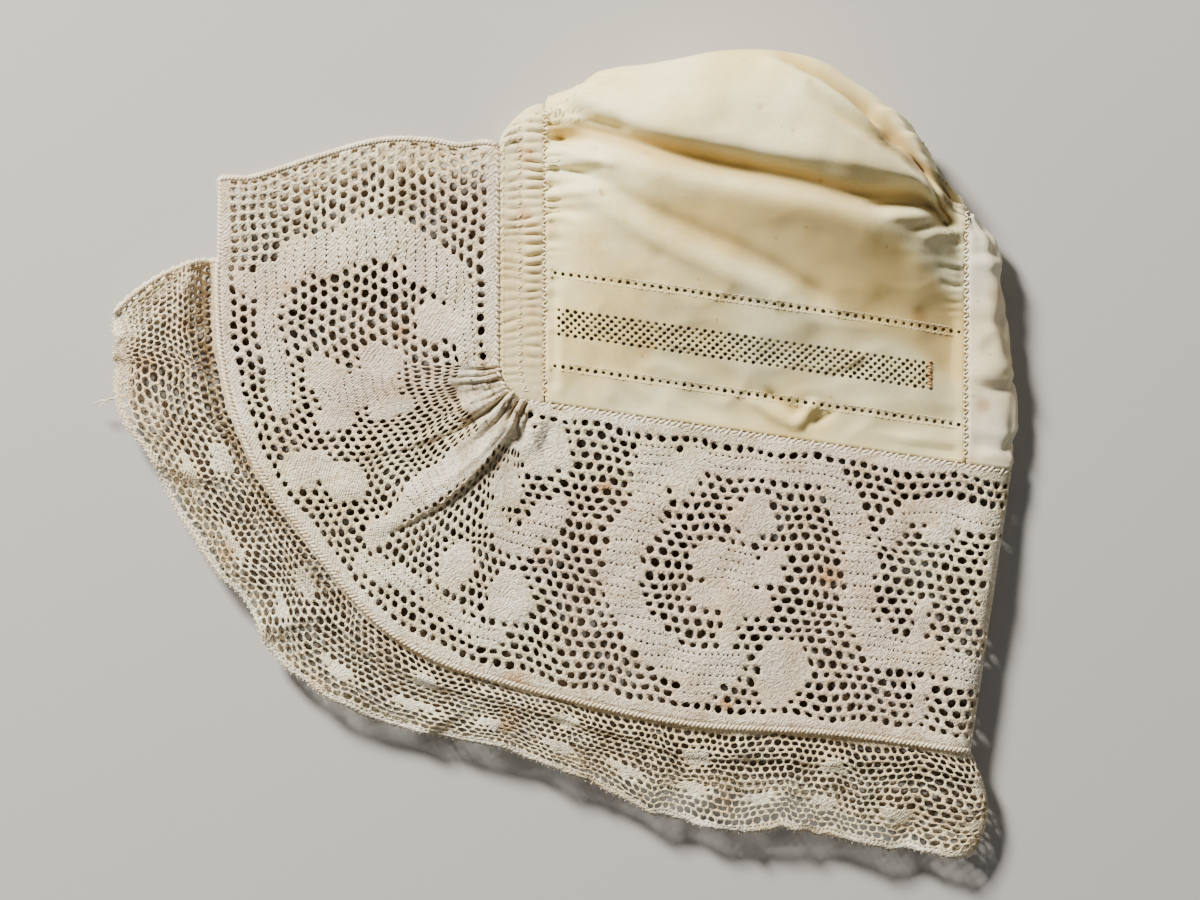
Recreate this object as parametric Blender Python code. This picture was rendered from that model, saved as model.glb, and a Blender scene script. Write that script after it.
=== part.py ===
"""Baby bonnet of cotton cloth and bobbin lace, lying flat on its side.

The bonnet is folded along the line over the top of the head, which is its right edge here.
The front edge points down (-Y), the neck edge points left (-X) and the back of the head up (+Y).
Every piece is a sheet that runs over its fold from the upper layer to the lower one, which
lies on the ground. Metres, +Z up.
"""
import math

import bmesh
import bpy
from mathutils import Vector

# Walls and joins
THICKNESS = 0.0012
SEAM_GAP = 0.0003

# Crown, the cloth pouch over the back of the head
CROWN_WIDTH = 0.1045
CROWN_DEPTH = 0.0960
CROWN_PUFF = 0.0200
FRONT_SLOPE = math.radians(8.3)
BACK_ROUNDING = 1.05
UNDER_ROUNDING = 0.9
EDGE_HEIGHT = 0.44
GATHER_HEIGHT = 0.0010
GATHER_REACH = 0.011
GATHER_COUNT = 6

# Top band, over the top of the head, and neck casing, along the neck
BAND_HALF = 0.0118
BAND_END_HALF = 0.0052
BAND_END_ROOM = 0.0028
CASING_WIDTH = 0.01125
CASING_END_SLANT = 0.0085
CASING_PLEAT = 0.0044
CASING_PLEAT_HEIGHT = 0.0005
CORNER_RADIUS = 0.0090

# Wide lace, and the narrow lace edging on its outer edge
LACE_WIDTH = 0.0700
LACE_LIFT = 0.0084
LACE_DROOP = 0.0007
LACE_BEND = 0.0042
LACE_GAP_MARGIN = 0.0017
LACE_FAN_LENGTH = 0.0630
LACE_NECK_LENGTH = 0.0538
LACE_END_HUMP = 0.0065
LACE_END_SLANT = 0.0070
LACE_PLEAT_HEIGHT = 0.0022
EDGING_WIDTH = 0.0267
EDGING_DROOP = 0.0006
EDGING_FLARE = 0.0065
EDGING_FLARE_LENGTH = 0.0120
EDGING_NECK_LENGTH = 0.0260
EDGING_END_SLANT = 0.0130
RUFFLE_HEIGHT = 0.0006
RUFFLE_LENGTH = 0.0210

# Sections of the crown from the casing to the top band. across is a share of CROWN_WIDTH, reach
# of CROWN_DEPTH and puff of CROWN_PUFF.
CROWN_SECTIONS = (
    {"across": 0.00, "reach": 0.775, "puff": 0.13},
    {"across": 0.12, "reach": 0.860, "puff": 0.50},
    {"across": 0.28, "reach": 0.920, "puff": 0.84},
    {"across": 0.55, "reach": 0.995, "puff": 1.00},
    {"across": 0.72, "reach": 0.955, "puff": 0.93},
    {"across": 0.87, "reach": 0.835, "puff": 0.62},
    {"across": 1.00, "reach": 0.665, "puff": 0.08},
)

# Folds of the crown's upper layer. start and end are across, side and middle are shares of the
# depth at the ends of the fold and halfway, height is a share of the puff, width of the depth.
CROWN_FOLDS = (
    {"start": 0.00, "end": 1.00, "side": 0.95, "middle": 0.72, "height": -0.20, "width": 0.050},
    {"start": 0.00, "end": 1.00, "side": 0.88, "middle": 0.60, "height": 0.10, "width": 0.060},
    {"start": 0.55, "end": 1.04, "side": 0.94, "middle": 0.90, "height": -0.12, "width": 0.030},
    {"start": 0.00, "end": 0.75, "side": 0.50, "middle": 0.40, "height": -0.07, "width": 0.080},
)

# Half width of the top band from the front seam to its end at the back of the head, along a share
# of its length and half a share of BAND_HALF.
BAND_SECTIONS = (
    {"along": 0.00, "half": 0.98},
    {"along": 0.22, "half": 1.06},
    {"along": 0.46, "half": 0.95},
    {"along": 0.72, "half": 0.74},
    {"along": 1.00, "half": 0.44},
)

# Width of the wide lace, a share of LACE_WIDTH: along is a share of the strip from the fold.
LACE_SECTIONS = (
    {"along": 0.00, "width": 1.000},
    {"along": 0.15, "width": 1.005},
    {"along": 0.30, "width": 1.045},
    {"along": 0.45, "width": 1.010},
    {"along": 0.56, "width": 0.955},
    {"along": 0.65, "width": 0.880},
    {"along": 0.72, "width": 0.925},
    {"along": 0.80, "width": 0.985},
    {"along": 1.00, "width": 0.990},
)

# Pleats where the wide lace turns the corner. sweep is a share of the turn, height of
# LACE_PLEAT_HEIGHT and length of LACE_WIDTH.
LACE_PLEATS = (
    {"sweep": 0.083, "height": 0.60, "length": 0.35},
    {"sweep": 0.250, "height": 0.85, "length": 0.45},
    {"sweep": 0.417, "height": 1.00, "length": 1.10},
    {"sweep": 0.583, "height": 0.75, "length": 0.50},
    {"sweep": 0.750, "height": 0.65, "length": 0.40},
    {"sweep": 0.917, "height": 0.45, "length": 0.30},
)

# Reach of the edging on each layer, shares of EDGING_WIDTH: along is a share of its strip.
EDGING_SECTIONS = (
    {"along": 0.00, "upper": 0.98, "lower": 0.97},
    {"along": 0.07, "upper": 1.01, "lower": 0.85},
    {"along": 0.20, "upper": 0.94, "lower": 0.62},
    {"along": 0.26, "upper": 0.98, "lower": 0.60},
    {"along": 0.38, "upper": 0.84, "lower": 0.64},
    {"along": 0.47, "upper": 0.68, "lower": 0.60},
    {"along": 0.56, "upper": 0.62, "lower": 0.60},
    {"along": 0.61, "upper": 0.69, "lower": 0.64},
    {"along": 0.69, "upper": 0.92, "lower": 0.80},
    {"along": 0.76, "upper": 0.76, "lower": 0.70},
    {"along": 0.82, "upper": 0.79, "lower": 0.70},
    {"along": 0.88, "upper": 1.03, "lower": 0.78},
    {"along": 1.00, "upper": 0.97, "lower": 0.75},
)

# The wide lace from the fold to the neck end, a column for each step along it and a row for each
# band across it from the inner edge: o is a gap of the net and a dot is closed lace.
LACE_CHART = (
    "..................................",
    ".o.o..o.o.o..o.............o.o....",
    "..o....o...o..o.............o...o.",
    ".o.o..o...o..o...............o....",
    "..o........o..o.......o.o...o....o",
    "...o.o.o..o........o...o.....o....",
    ".o..o..o.........o...o...o.......o",
    "o..o.o..o.......o.....o.o..o.o..o.",
)
FRONT_COLUMNS = 15
FAN_COLUMNS = 12
NECK_COLUMNS = 7
BEND_SHARES = (0.0, 0.14, 0.50)

UPPER, LOWER = 1, -1
HALF_GAP = SEAM_GAP / 2
GROUND = THICKNESS / 2
ALONG = Vector((math.cos(FRONT_SLOPE), -math.sin(FRONT_SLOPE)))
OUTWARD = Vector((-math.sin(FRONT_SLOPE), -math.cos(FRONT_SLOPE)))
TURN = math.pi / 2 - FRONT_SLOPE
FOLD_BEND = BAND_HALF * BAND_SECTIONS[0]["half"]
FRONT_SPAN = (CROWN_WIDTH + FOLD_BEND) / math.cos(FRONT_SLOPE)
CORNER_X = CORNER_RADIUS - CASING_WIDTH
CORNER_Y = CORNER_RADIUS / math.cos(FRONT_SLOPE) - CORNER_X * math.tan(FRONT_SLOPE)
CORNER = Vector((CORNER_X, CORNER_Y))
LACE_FRONT_LENGTH = FRONT_SPAN - CORNER.dot(ALONG)
LACE_LENGTH = LACE_FRONT_LENGTH + LACE_FAN_LENGTH + LACE_NECK_LENGTH
EDGING_LENGTH = LACE_FRONT_LENGTH + LACE_FAN_LENGTH + EDGING_NECK_LENGTH


def smooth(x):
    """Rises from 0 to 1 with level ends."""
    x = min(1.0, max(0.0, x))
    return x * x * (3 - 2 * x)


def bump(x):
    """A round hill, 1 high at x = 0 and gone by x = 2."""
    return math.exp(-x * x)


def quarter(x):
    """Falls from 1 at x = 0 to 0 at x = 1 on a quarter circle."""
    return math.sqrt(max(0.0, 1 - x * x))


def from_table(rows, key, column, x):
    """Reads a table at x on a smooth curve through its rows, level at both ends."""
    places = [row[key] for row in rows]
    values = [row[column] for row in rows]
    x = min(places[-1], max(places[0], x))
    i = max(k for k in range(len(rows) - 1) if places[k] <= x)
    slopes = [0.0] * len(rows)
    for k in range(1, len(rows) - 1):
        slopes[k] = (values[k + 1] - values[k - 1]) / (places[k + 1] - places[k - 1])
    step = places[i + 1] - places[i]
    q = (x - places[i]) / step
    return (
        values[i] * (1 + 2 * q) * (1 - q) ** 2
        + values[i + 1] * q * q * (3 - 2 * q)
        + slopes[i] * step * q * (1 - q) ** 2
        - slopes[i + 1] * step * q * q * (1 - q)
    )


class Section:
    """A section across the fold at the back, from the upper layer round to the lower one."""

    def __init__(self, front, depth, puff, turn=0.0):
        self.front = front
        self.depth = depth
        self.puff = puff
        top = LACE_LIFT + puff
        self.edge = GROUND + EDGE_HEIGHT * (top - GROUND)
        upper = BACK_ROUNDING * (top - self.edge)
        lower = UNDER_ROUNDING * (self.edge - GROUND)
        self.flat = {
            UPPER: 1 - (upper + (BAND_END_ROOM - upper) * turn) / depth,
            LOWER: 1 - (lower + (BAND_END_ROOM - lower) * turn) / depth,
        }

    def turned(self, layer, share):
        return max(0.0, (share - self.flat[layer]) / (1 - self.flat[layer]))

    def y(self, share):
        return self.front + self.depth * share

    def z(self, layer, share, relief=0.0):
        level = quarter(self.turned(layer, share))
        if layer == LOWER:
            return self.edge + (GROUND - self.edge) * level
        high = LACE_LIFT + self.puff * smooth(share / 0.66) + relief
        return self.edge + (high - self.edge) * level

    def walk(self, start, upper_steps, round_steps, lower_steps):
        """Steps (layer, share) from the upper front over the back to the lower front."""
        path = {}
        for layer, steps in ((UPPER, upper_steps), (LOWER, lower_steps)):
            flat = self.flat[layer]
            path[layer] = [(layer, start + (flat - start) * k / steps) for k in range(steps)]
            for k in range(round_steps + 1):
                rise = math.sin(math.pi / 2 * k / round_steps)
                path[layer].append((layer, flat + (1 - flat) * rise))
        return path[UPPER] + path[LOWER][-2::-1]


def crown_section(across):
    front = -across * CROWN_WIDTH * math.tan(FRONT_SLOPE)
    depth = CROWN_DEPTH * from_table(CROWN_SECTIONS, "across", "reach", across)
    puff = CROWN_PUFF * from_table(CROWN_SECTIONS, "across", "puff", across)
    return Section(front, depth, puff, smooth((across - 0.72) / 0.28))


def crown_relief(across, share, puff):
    """Folds and gathers of the crown's upper layer."""
    height = 0.0
    for fold in CROWN_FOLDS:
        place = (across - fold["start"]) / (fold["end"] - fold["start"])
        if 0 < place < 1:
            arch = math.sin(math.pi * place)
            line = fold["side"] + (fold["middle"] - fold["side"]) * arch
            hill = bump((share - line) / fold["width"])
            height += puff * fold["height"] * math.sqrt(arch) * hill
    near = bump(across * CROWN_WIDTH / GATHER_REACH)
    near += bump((1 - across) * CROWN_WIDTH / GATHER_REACH)
    edges = smooth(across / 0.03) * smooth((1 - across) / 0.03)
    fade = smooth(share / 0.2) * smooth((1 - share) / 0.12)
    wave = math.sin(2 * math.pi * GATHER_COUNT * share)
    return height + GATHER_HEIGHT * near * edges * fade * wave


def casing_edge(y):
    """The outer edge of the casing: straight, then round the corner to the front seam."""
    drop = min(CORNER_RADIUS, max(0.0, CORNER.y - y))
    return CORNER.x - CORNER_RADIUS * quarter(drop / CORNER_RADIUS)


def lace_width(along):
    return LACE_WIDTH * from_table(LACE_SECTIONS, "along", "width", along / LACE_LENGTH)


def outward_turn(angle):
    return Vector((-math.sin(FRONT_SLOPE + angle), -math.cos(FRONT_SLOPE + angle)))


def strip_plan(along, out, neck_scale=1.0):
    """Plan of the lace: along is from the fold, out from the seam with crown and casing."""
    out += HALF_GAP
    if along <= LACE_FRONT_LENGTH:
        return ALONG * (FRONT_SPAN - along) + OUTWARD * out
    turned = (along - LACE_FRONT_LENGTH) / LACE_FAN_LENGTH
    if turned <= 1:
        return CORNER + outward_turn(TURN * turned) * (CORNER_RADIUS + out)
    up = (along - LACE_FRONT_LENGTH - LACE_FAN_LENGTH) * neck_scale
    return CORNER + Vector((-CORNER_RADIUS - out, up))


def strip_height(layer, along, bend, high):
    """Height of a strip whose ends lie flat and whose middle bends over the fold."""
    level = quarter(1 - along / bend) if along < bend else 1.0
    middle = (LACE_LIFT + GROUND) / 2
    flat = high if layer == UPPER else GROUND
    return middle + (flat - middle) * level


def fold_bend(share):
    """The fold is round beside the top band and sharper farther out."""
    return FOLD_BEND + (LACE_BEND - FOLD_BEND) * smooth(share / 0.35)


def lace_relief(along, share):
    """Droop and corner pleats of the wide lace's upper layer."""
    sweep = (along - LACE_FRONT_LENGTH) / LACE_FAN_LENGTH
    height = -LACE_DROOP * smooth(share)
    for pleat in LACE_PLEATS:
        ridge = bump((sweep - pleat["sweep"]) * FAN_COLUMNS / 0.7)
        fade = smooth(share / 0.08) * (1 - smooth(share / pleat["length"]))
        height += LACE_PLEAT_HEIGHT * pleat["height"] * ridge * fade
    return height


def lace_point(layer, along, share):
    bend = fold_bend(share)
    end_rise = LACE_END_HUMP * math.sin(math.pi * share**0.68) - LACE_END_SLANT * share
    up = max(0.0, along - LACE_FRONT_LENGTH - LACE_FAN_LENGTH) / LACE_NECK_LENGTH
    plan = strip_plan(along, lace_width(along) * share, 1 + up * end_rise / LACE_NECK_LENGTH)
    high = LACE_LIFT + lace_relief(along, share)
    return Vector((*plan, strip_height(layer, along, bend, high)))


def edging_point(layer, along, share):
    column = "upper" if layer == UPPER else "lower"
    reach = EDGING_WIDTH
    reach *= from_table(EDGING_SECTIONS, "along", column, along / EDGING_LENGTH)
    slant = 1 - EDGING_END_SLANT / EDGING_NECK_LENGTH * share * share
    plan = strip_plan(along, lace_width(along) + SEAM_GAP + reach * share, slant)
    flare = EDGING_FLARE * math.sin(0.8 * math.pi * share)
    plan += ALONG * flare * bump(along / EDGING_FLARE_LENGTH)
    wave = math.sin(2 * math.pi * along / RUFFLE_LENGTH)
    high = LACE_LIFT - LACE_DROOP - EDGING_DROOP * share + RUFFLE_HEIGHT * wave * share
    return Vector((*plan, strip_height(layer, along, LACE_BEND, high)))


def strip_stations(neck_length, neck_columns):
    """Places along half a strip, close together where it bends over the fold."""
    places = [LACE_BEND * share for share in BEND_SHARES]
    ends = (
        (LACE_BEND, LACE_FRONT_LENGTH, FRONT_COLUMNS),
        (LACE_FRONT_LENGTH, LACE_FRONT_LENGTH + LACE_FAN_LENGTH, FAN_COLUMNS),
        (LACE_FRONT_LENGTH + LACE_FAN_LENGTH,
         LACE_FRONT_LENGTH + LACE_FAN_LENGTH + neck_length, neck_columns),
    )
    for start, end, count in ends:
        places += [start + (end - start) * k / count for k in range(count)]
    return places + [ends[-1][1]]


def strip_columns(point, places, shares):
    """Columns of points from the upper neck end over the fold to the lower neck end."""
    upper = [[point(UPPER, along, share) for share in shares] for along in places]
    lower = [[point(LOWER, along, share) for share in shares] for along in places[1:]]
    return upper[::-1] + lower


def chart_gaps():
    """Cells of the wide lace that the chart leaves open, on both layers."""
    first = len(BEND_SHARES)
    last = 2 * (first + len(LACE_CHART[0])) - 1
    gaps = []
    for row, line in enumerate(LACE_CHART):
        for column, mark in enumerate(line):
            if mark == "o":
                half = first + column
                middle = (last + 1) // 2
                gaps += [(middle + half, row), (middle - 1 - half, row)]
    return gaps


def make_material(name, colour, roughness):
    material = bpy.data.materials.new(name)
    material.use_nodes = True
    shader = material.node_tree.nodes["Principled BSDF"]
    shader.inputs["Base Color"].default_value = (*colour, 1)
    shader.inputs["Roughness"].default_value = roughness
    shader.inputs["Metallic"].default_value = 0
    return material


def sheet(name, columns, material, gaps=()):
    """A sheet through columns of points, with gaps cut in the named cells."""
    across, along = len(columns) - 1, len(columns[0]) - 1
    bm = bmesh.new()
    bmesh.ops.create_grid(bm, x_segments=across, y_segments=along, size=0.5)
    cells = {}
    for face in bm.faces:
        middle = face.calc_center_median()
        cells[int((middle.x + 0.5) * across), int((middle.y + 0.5) * along)] = face
    for vert in bm.verts:
        i = round((vert.co.x + 0.5) * across)
        j = round((vert.co.y + 0.5) * along)
        vert.co = columns[i][j]
    bm.normal_update()
    cut = [cells[cell] for cell in gaps]
    if cut:
        bmesh.ops.inset_individual(bm, faces=cut, thickness=LACE_GAP_MARGIN, use_even_offset=True)
        bmesh.ops.delete(bm, geom=cut, context="FACES_ONLY")
    bmesh.ops.recalc_face_normals(bm, faces=bm.faces)
    mesh = bpy.data.meshes.new(name)
    bm.to_mesh(mesh)
    bm.free()
    mesh.shade_smooth()
    mesh.materials.append(material)
    obj = bpy.data.objects.new(name, mesh)
    bpy.context.scene.collection.objects.link(obj)
    solid = obj.modifiers.new("wall", "SOLIDIFY")
    solid.thickness = THICKNESS
    solid.offset = 0
    return obj


def crown(material):
    """The pouch of cloth, gathered beside the casing and beside the top band."""
    inset = HALF_GAP / CROWN_WIDTH
    steps = 18
    columns = []
    for k in range(steps + 1):
        # the sections crowd towards both sides, where the cloth is gathered
        place = k / steps - 0.08 * math.sin(2 * math.pi * k / steps)
        across = inset + (1 - 2 * inset) * place
        section = crown_section(across)
        side = BAND_END_HALF * smooth((across - 0.72) / 0.28)
        column = []
        for layer, share in section.walk(HALF_GAP / section.depth, 20, 5, 8):
            x = across * CROWN_WIDTH + side * section.turned(layer, share)
            relief = crown_relief(across, share, section.puff)
            column.append(Vector((x, section.y(share), section.z(layer, share, relief))))
        columns.append(column)
    return sheet("crown", columns, material)


def top_band(material):
    """The strip over the top of the head, which holds the fold of the bonnet."""
    section = crown_section(1.0)
    along_steps, around_steps = 10, 10
    columns = []
    for j in range(around_steps + 1):
        angle = math.pi * j / around_steps
        layer = UPPER if j <= around_steps / 2 else LOWER
        column = []
        for k in range(along_steps + 1):
            along = k / along_steps
            share = section.flat[layer] * along
            half = BAND_HALF * from_table(BAND_SECTIONS, "along", "half", along)
            x = CROWN_WIDTH + HALF_GAP + (half - HALF_GAP) * math.sin(angle)
            front = HALF_GAP - x * math.tan(FRONT_SLOPE)
            back = section.y(section.flat[UPPER]) - SEAM_GAP
            back += (BAND_END_ROOM - THICKNESS) * math.sin(angle)
            flat = section.z(layer, share)
            z = section.edge + (flat - section.edge) * abs(math.cos(angle))
            column.append(Vector((x, front + (back - front) * along, z)))
        columns.append(column)
    return sheet("top_band", columns, material)


def neck_casing(material):
    """The pleated strip along the neck, from the corner over the back to the lower corner."""
    inner = crown_section(0.0)
    front = THICKNESS
    across_steps = 3
    pleats = round((inner.y(inner.flat[UPPER]) - front) / CASING_PLEAT)
    columns = []
    for i in range(across_steps + 1):
        across = i / across_steps
        back = inner.y(1) - CASING_END_SLANT * across * across
        section = Section(front, back - front, inner.puff * (1 - smooth(across)))
        column = []
        for layer, share in section.walk(0, 4 * pleats, 4, 10):
            y = section.y(share)
            x = -HALF_GAP + (casing_edge(y) + SEAM_GAP) * across
            wave = math.sin(2 * math.pi * pleats * share / section.flat[UPPER])
            wave *= smooth(share / 0.1) * (1 - smooth(section.turned(layer, share)))
            relief = CASING_PLEAT_HEIGHT * wave * math.sin(math.pi * across)
            column.append(Vector((x, y, section.z(layer, share, relief))))
        columns.append(column)
    return sheet("neck_casing", columns, material)


def wide_lace(material):
    """The pierced strip along the crown, round the corner and along the neck casing."""
    rows = len(LACE_CHART)
    places = strip_stations(LACE_NECK_LENGTH, NECK_COLUMNS)
    columns = strip_columns(lace_point, places, [k / rows for k in range(rows + 1)])
    return sheet("wide_lace", columns, material, chart_gaps())


def lace_edging(material):
    """The narrow ruffled strip along the outer edge of the wide lace."""
    places = strip_stations(EDGING_NECK_LENGTH, 3)
    columns = strip_columns(edging_point, places, (0.0, 0.3, 0.65, 1.0))
    return sheet("lace_edging", columns, material)


def rest_on_ground(pieces):
    """Moves the pieces together so that the bonnet stands on z = 0 above the origin."""
    bpy.context.view_layer.update()
    graph = bpy.context.evaluated_depsgraph_get()
    corners = [Vector(c) for piece in pieces for c in piece.evaluated_get(graph).bound_box]
    low = Vector([min(c[k] for c in corners) for k in range(3)])
    high = Vector([max(c[k] for c in corners) for k in range(3)])
    shift = Vector((-(low.x + high.x) / 2, -(low.y + high.y) / 2, 0))
    for piece in pieces:
        for vert in piece.data.vertices:
            vert.co += shift


for old in list(bpy.data.objects):
    bpy.data.objects.remove(old, do_unlink=True)

cotton = make_material("cream_cotton", (0.83, 0.76, 0.58), 0.9)
band_cotton = make_material("band_cotton", (0.80, 0.72, 0.53), 0.9)
casing_cotton = make_material("casing_cotton", (0.81, 0.74, 0.56), 0.9)
linen_lace = make_material("linen_lace", (0.72, 0.64, 0.53), 0.95)
edging_lace = make_material("edging_lace", (0.74, 0.67, 0.50), 0.95)

rest_on_ground([
    crown(cotton),
    top_band(band_cotton),
    neck_casing(casing_cotton),
    wide_lace(linen_lace),
    lace_edging(edging_lace),
])
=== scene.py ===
# %% [markdown]
# # A baby bonnet of cotton cloth and bobbin lace
#
# This lesson dresses a plain CAD model of an old baby bonnet that lies folded flat on its side.
# The CAD solids are thick sheets. Each one is replaced here by thin cloth or by lace with real
# holes, so that light passes through it as it does on the real thing. All lengths are in metres.

# %% Load the frame
import math

import bmesh
import bpy
from mathutils import Matrix, Vector, noise


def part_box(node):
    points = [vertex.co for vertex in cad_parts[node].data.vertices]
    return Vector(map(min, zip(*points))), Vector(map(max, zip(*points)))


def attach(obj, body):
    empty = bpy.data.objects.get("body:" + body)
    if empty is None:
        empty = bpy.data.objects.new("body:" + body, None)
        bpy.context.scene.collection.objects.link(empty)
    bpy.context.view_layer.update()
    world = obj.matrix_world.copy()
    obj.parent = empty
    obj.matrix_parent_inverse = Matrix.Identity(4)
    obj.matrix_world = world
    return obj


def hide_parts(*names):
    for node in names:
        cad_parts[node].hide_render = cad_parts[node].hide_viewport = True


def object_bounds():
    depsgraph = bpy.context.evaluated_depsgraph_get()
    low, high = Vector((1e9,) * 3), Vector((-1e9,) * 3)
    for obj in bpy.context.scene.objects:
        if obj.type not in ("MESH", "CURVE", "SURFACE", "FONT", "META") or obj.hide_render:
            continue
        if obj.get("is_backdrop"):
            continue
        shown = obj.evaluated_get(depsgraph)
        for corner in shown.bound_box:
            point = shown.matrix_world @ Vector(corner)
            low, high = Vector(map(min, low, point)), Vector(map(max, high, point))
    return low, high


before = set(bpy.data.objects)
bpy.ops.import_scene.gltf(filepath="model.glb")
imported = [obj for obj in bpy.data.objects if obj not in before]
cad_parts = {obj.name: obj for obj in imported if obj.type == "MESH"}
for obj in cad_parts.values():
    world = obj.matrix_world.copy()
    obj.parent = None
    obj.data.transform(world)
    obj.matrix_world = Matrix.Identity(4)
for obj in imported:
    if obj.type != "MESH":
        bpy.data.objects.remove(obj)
cad_low, cad_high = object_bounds()
print("CAD nodes:", sorted(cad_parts))

# %% [markdown]
# Every piece has to sit where its CAD solid is, so the few sizes that place the solids come
# first. Two corners of the solids give the point where the crown, the casing and the lace meet,
# which is the origin of the bonnet's plan.

# %% Sizes of the bonnet
MM = 0.001
CAD_WALL = 1.2 * MM
HALF_GAP = 0.15 * MM
CROWN_WIDTH = 104.5 * MM
CROWN_DEPTH = 96 * MM
CROWN_PUFF = 20 * MM
FRONT_SLOPE = math.radians(8.3)
BAND_HALF = 11.8 * MM
BAND_END_HALF = 5.2 * MM
BAND_END_ROOM = 2.8 * MM
CASING_WIDTH = 11.25 * MM
CASING_END_SLANT = 8.5 * MM
CORNER_RADIUS = 9 * MM
LACE_WIDTH = 70 * MM
LACE_LIFT = 8.4 * MM
LACE_DROOP = 0.7 * MM
LACE_BEND = 4.2 * MM
LACE_FAN_LENGTH = 63 * MM
LACE_NECK_LENGTH = 53.8 * MM
LACE_END_HUMP = 6.5 * MM
LACE_END_SLANT = 7 * MM
EDGING_WIDTH = 26.7 * MM
EDGING_DROOP = 0.6 * MM
EDGING_FLARE = 6.5 * MM
EDGING_NECK_LENGTH = 26 * MM
EDGING_END_SLANT = 13 * MM
CLOTH = 0.4 * MM
THREAD = 0.45 * MM
EDGING_THREAD = 0.36 * MM

PLAN_ORIGIN = Vector((
    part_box("crown")[0][0] - HALF_GAP,
    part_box("neck_casing")[0][1] - CAD_WALL,
    0,
))
UPPER, LOWER = 1, -1
GROUND = 0.3 * MM
print("plan origin in mm:", [round(c / MM, 2) for c in PLAN_ORIGIN])

# %% [markdown]
# Folded cloth has few straight lines. Its outlines are described by short tables of shares,
# which are read on a smooth curve, and its folds by round hills.

# %% Curves
def smooth(x):
    """Rises from 0 to 1 with level ends."""
    x = min(1.0, max(0.0, x))
    return x * x * (3 - 2 * x)


def hill(x):
    """A round hill, 1 high at x = 0 and gone by x = 2."""
    return math.exp(-x * x)


def quarter(x):
    """Falls from 1 at x = 0 to 0 at x = 1 on a quarter circle."""
    return math.sqrt(max(0.0, 1 - x * x))


def mix(a, b, share):
    return a + (b - a) * share


def table(rows, x):
    """Reads rows of (place, value) at x on a smooth curve, level at both ends."""
    x = min(rows[-1][0], max(rows[0][0], x))
    i = max(k for k in range(len(rows) - 1) if rows[k][0] <= x)
    slopes = []
    for k in (i, i + 1):
        inner = 0 < k < len(rows) - 1
        rise = rows[k + 1][1] - rows[k - 1][1] if inner else 0
        slopes.append(rise / (rows[k + 1][0] - rows[k - 1][0]) if inner else 0)
    (x0, y0), (x1, y1) = rows[i], rows[i + 1]
    q = (x - x0) / (x1 - x0)
    return (
        y0 * (1 + 2 * q) * (1 - q) ** 2
        + y1 * q * q * (3 - 2 * q)
        + slopes[0] * (x1 - x0) * q * (1 - q) ** 2
        - slopes[1] * (x1 - x0) * q * q * (1 - q)
    )


def rough(x, y, size, seed=0.0):
    """Soft bumps about as wide as size, from -1 to 1, the same on every run."""
    return noise.noise(Vector((x / size, y / size, seed)))


print("a table read between its rows:", round(table([(0, 0), (1, 2), (3, 5)], 2), 3))

# %% [markdown]
# ## The plan of the lace
#
# The wide lace is one long strip. It starts at the neck, runs along the neck casing, turns the
# corner in a fan and follows the front of the crown to the fold over the top of the head, where
# it bends over and goes back the same way underneath. So one function can say where any point of
# the strip lies: how far it is along the strip, and how far out from the seam.

# %% Where a point of the strip lies
ALONG = Vector((math.cos(FRONT_SLOPE), -math.sin(FRONT_SLOPE)))
OUTWARD = Vector((-math.sin(FRONT_SLOPE), -math.cos(FRONT_SLOPE)))
TURN = math.pi / 2 - FRONT_SLOPE
FOLD_BEND = BAND_HALF * 0.98
FRONT_SPAN = (CROWN_WIDTH + FOLD_BEND) / math.cos(FRONT_SLOPE)
CORNER_X = CORNER_RADIUS - CASING_WIDTH
CORNER = Vector((
    CORNER_X,
    CORNER_RADIUS / math.cos(FRONT_SLOPE) - CORNER_X * math.tan(FRONT_SLOPE),
))
FRONT_LENGTH = FRONT_SPAN - CORNER.dot(ALONG)
FAN_END = FRONT_LENGTH + LACE_FAN_LENGTH
LACE_LENGTH = FAN_END + LACE_NECK_LENGTH
EDGING_LENGTH = FAN_END + EDGING_NECK_LENGTH

LACE_WIDTHS = [
    (0.00, 1.000), (0.15, 1.005), (0.30, 1.045), (0.45, 1.010), (0.56, 0.955),
    (0.65, 0.880), (0.72, 0.925), (0.80, 0.985), (1.00, 0.990),
]


def lace_width(along):
    return LACE_WIDTH * table(LACE_WIDTHS, along / LACE_LENGTH)


def strip_plan(along, out, neck_scale=1.0):
    """Plan of the strip: along is from the fold, out from the seam with the crown."""
    out += HALF_GAP
    if along <= FRONT_LENGTH:
        return ALONG * (FRONT_SPAN - along) + OUTWARD * out
    turned = (along - FRONT_LENGTH) / LACE_FAN_LENGTH
    if turned <= 1:
        angle = FRONT_SLOPE + TURN * turned
        outward = Vector((-math.sin(angle), -math.cos(angle)))
        return CORNER + outward * (CORNER_RADIUS + out)
    up = (along - FAN_END) * neck_scale
    return CORNER + Vector((-CORNER_RADIUS - out, up))


def strip_height(layer, along, bend, high):
    """The strip lies flat on both layers and bends over the fold between them."""
    level = quarter(1 - along / bend) if along < bend else 1.0
    middle = (LACE_LIFT + GROUND) / 2
    flat = high if layer == UPPER else GROUND
    return middle + (flat - middle) * level


print("half the strip along its seam:", round(LACE_LENGTH / MM, 1), "mm")

# %% [markdown]
# The upper layer isn't flat. Where the strip turns the corner its inner edge is too long, so it
# is gathered there into small pleats. One wide pleat is laid over and runs nearly right across,
# and short creases run out from the corner. The rest has the soft bumps of washed cotton.

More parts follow.
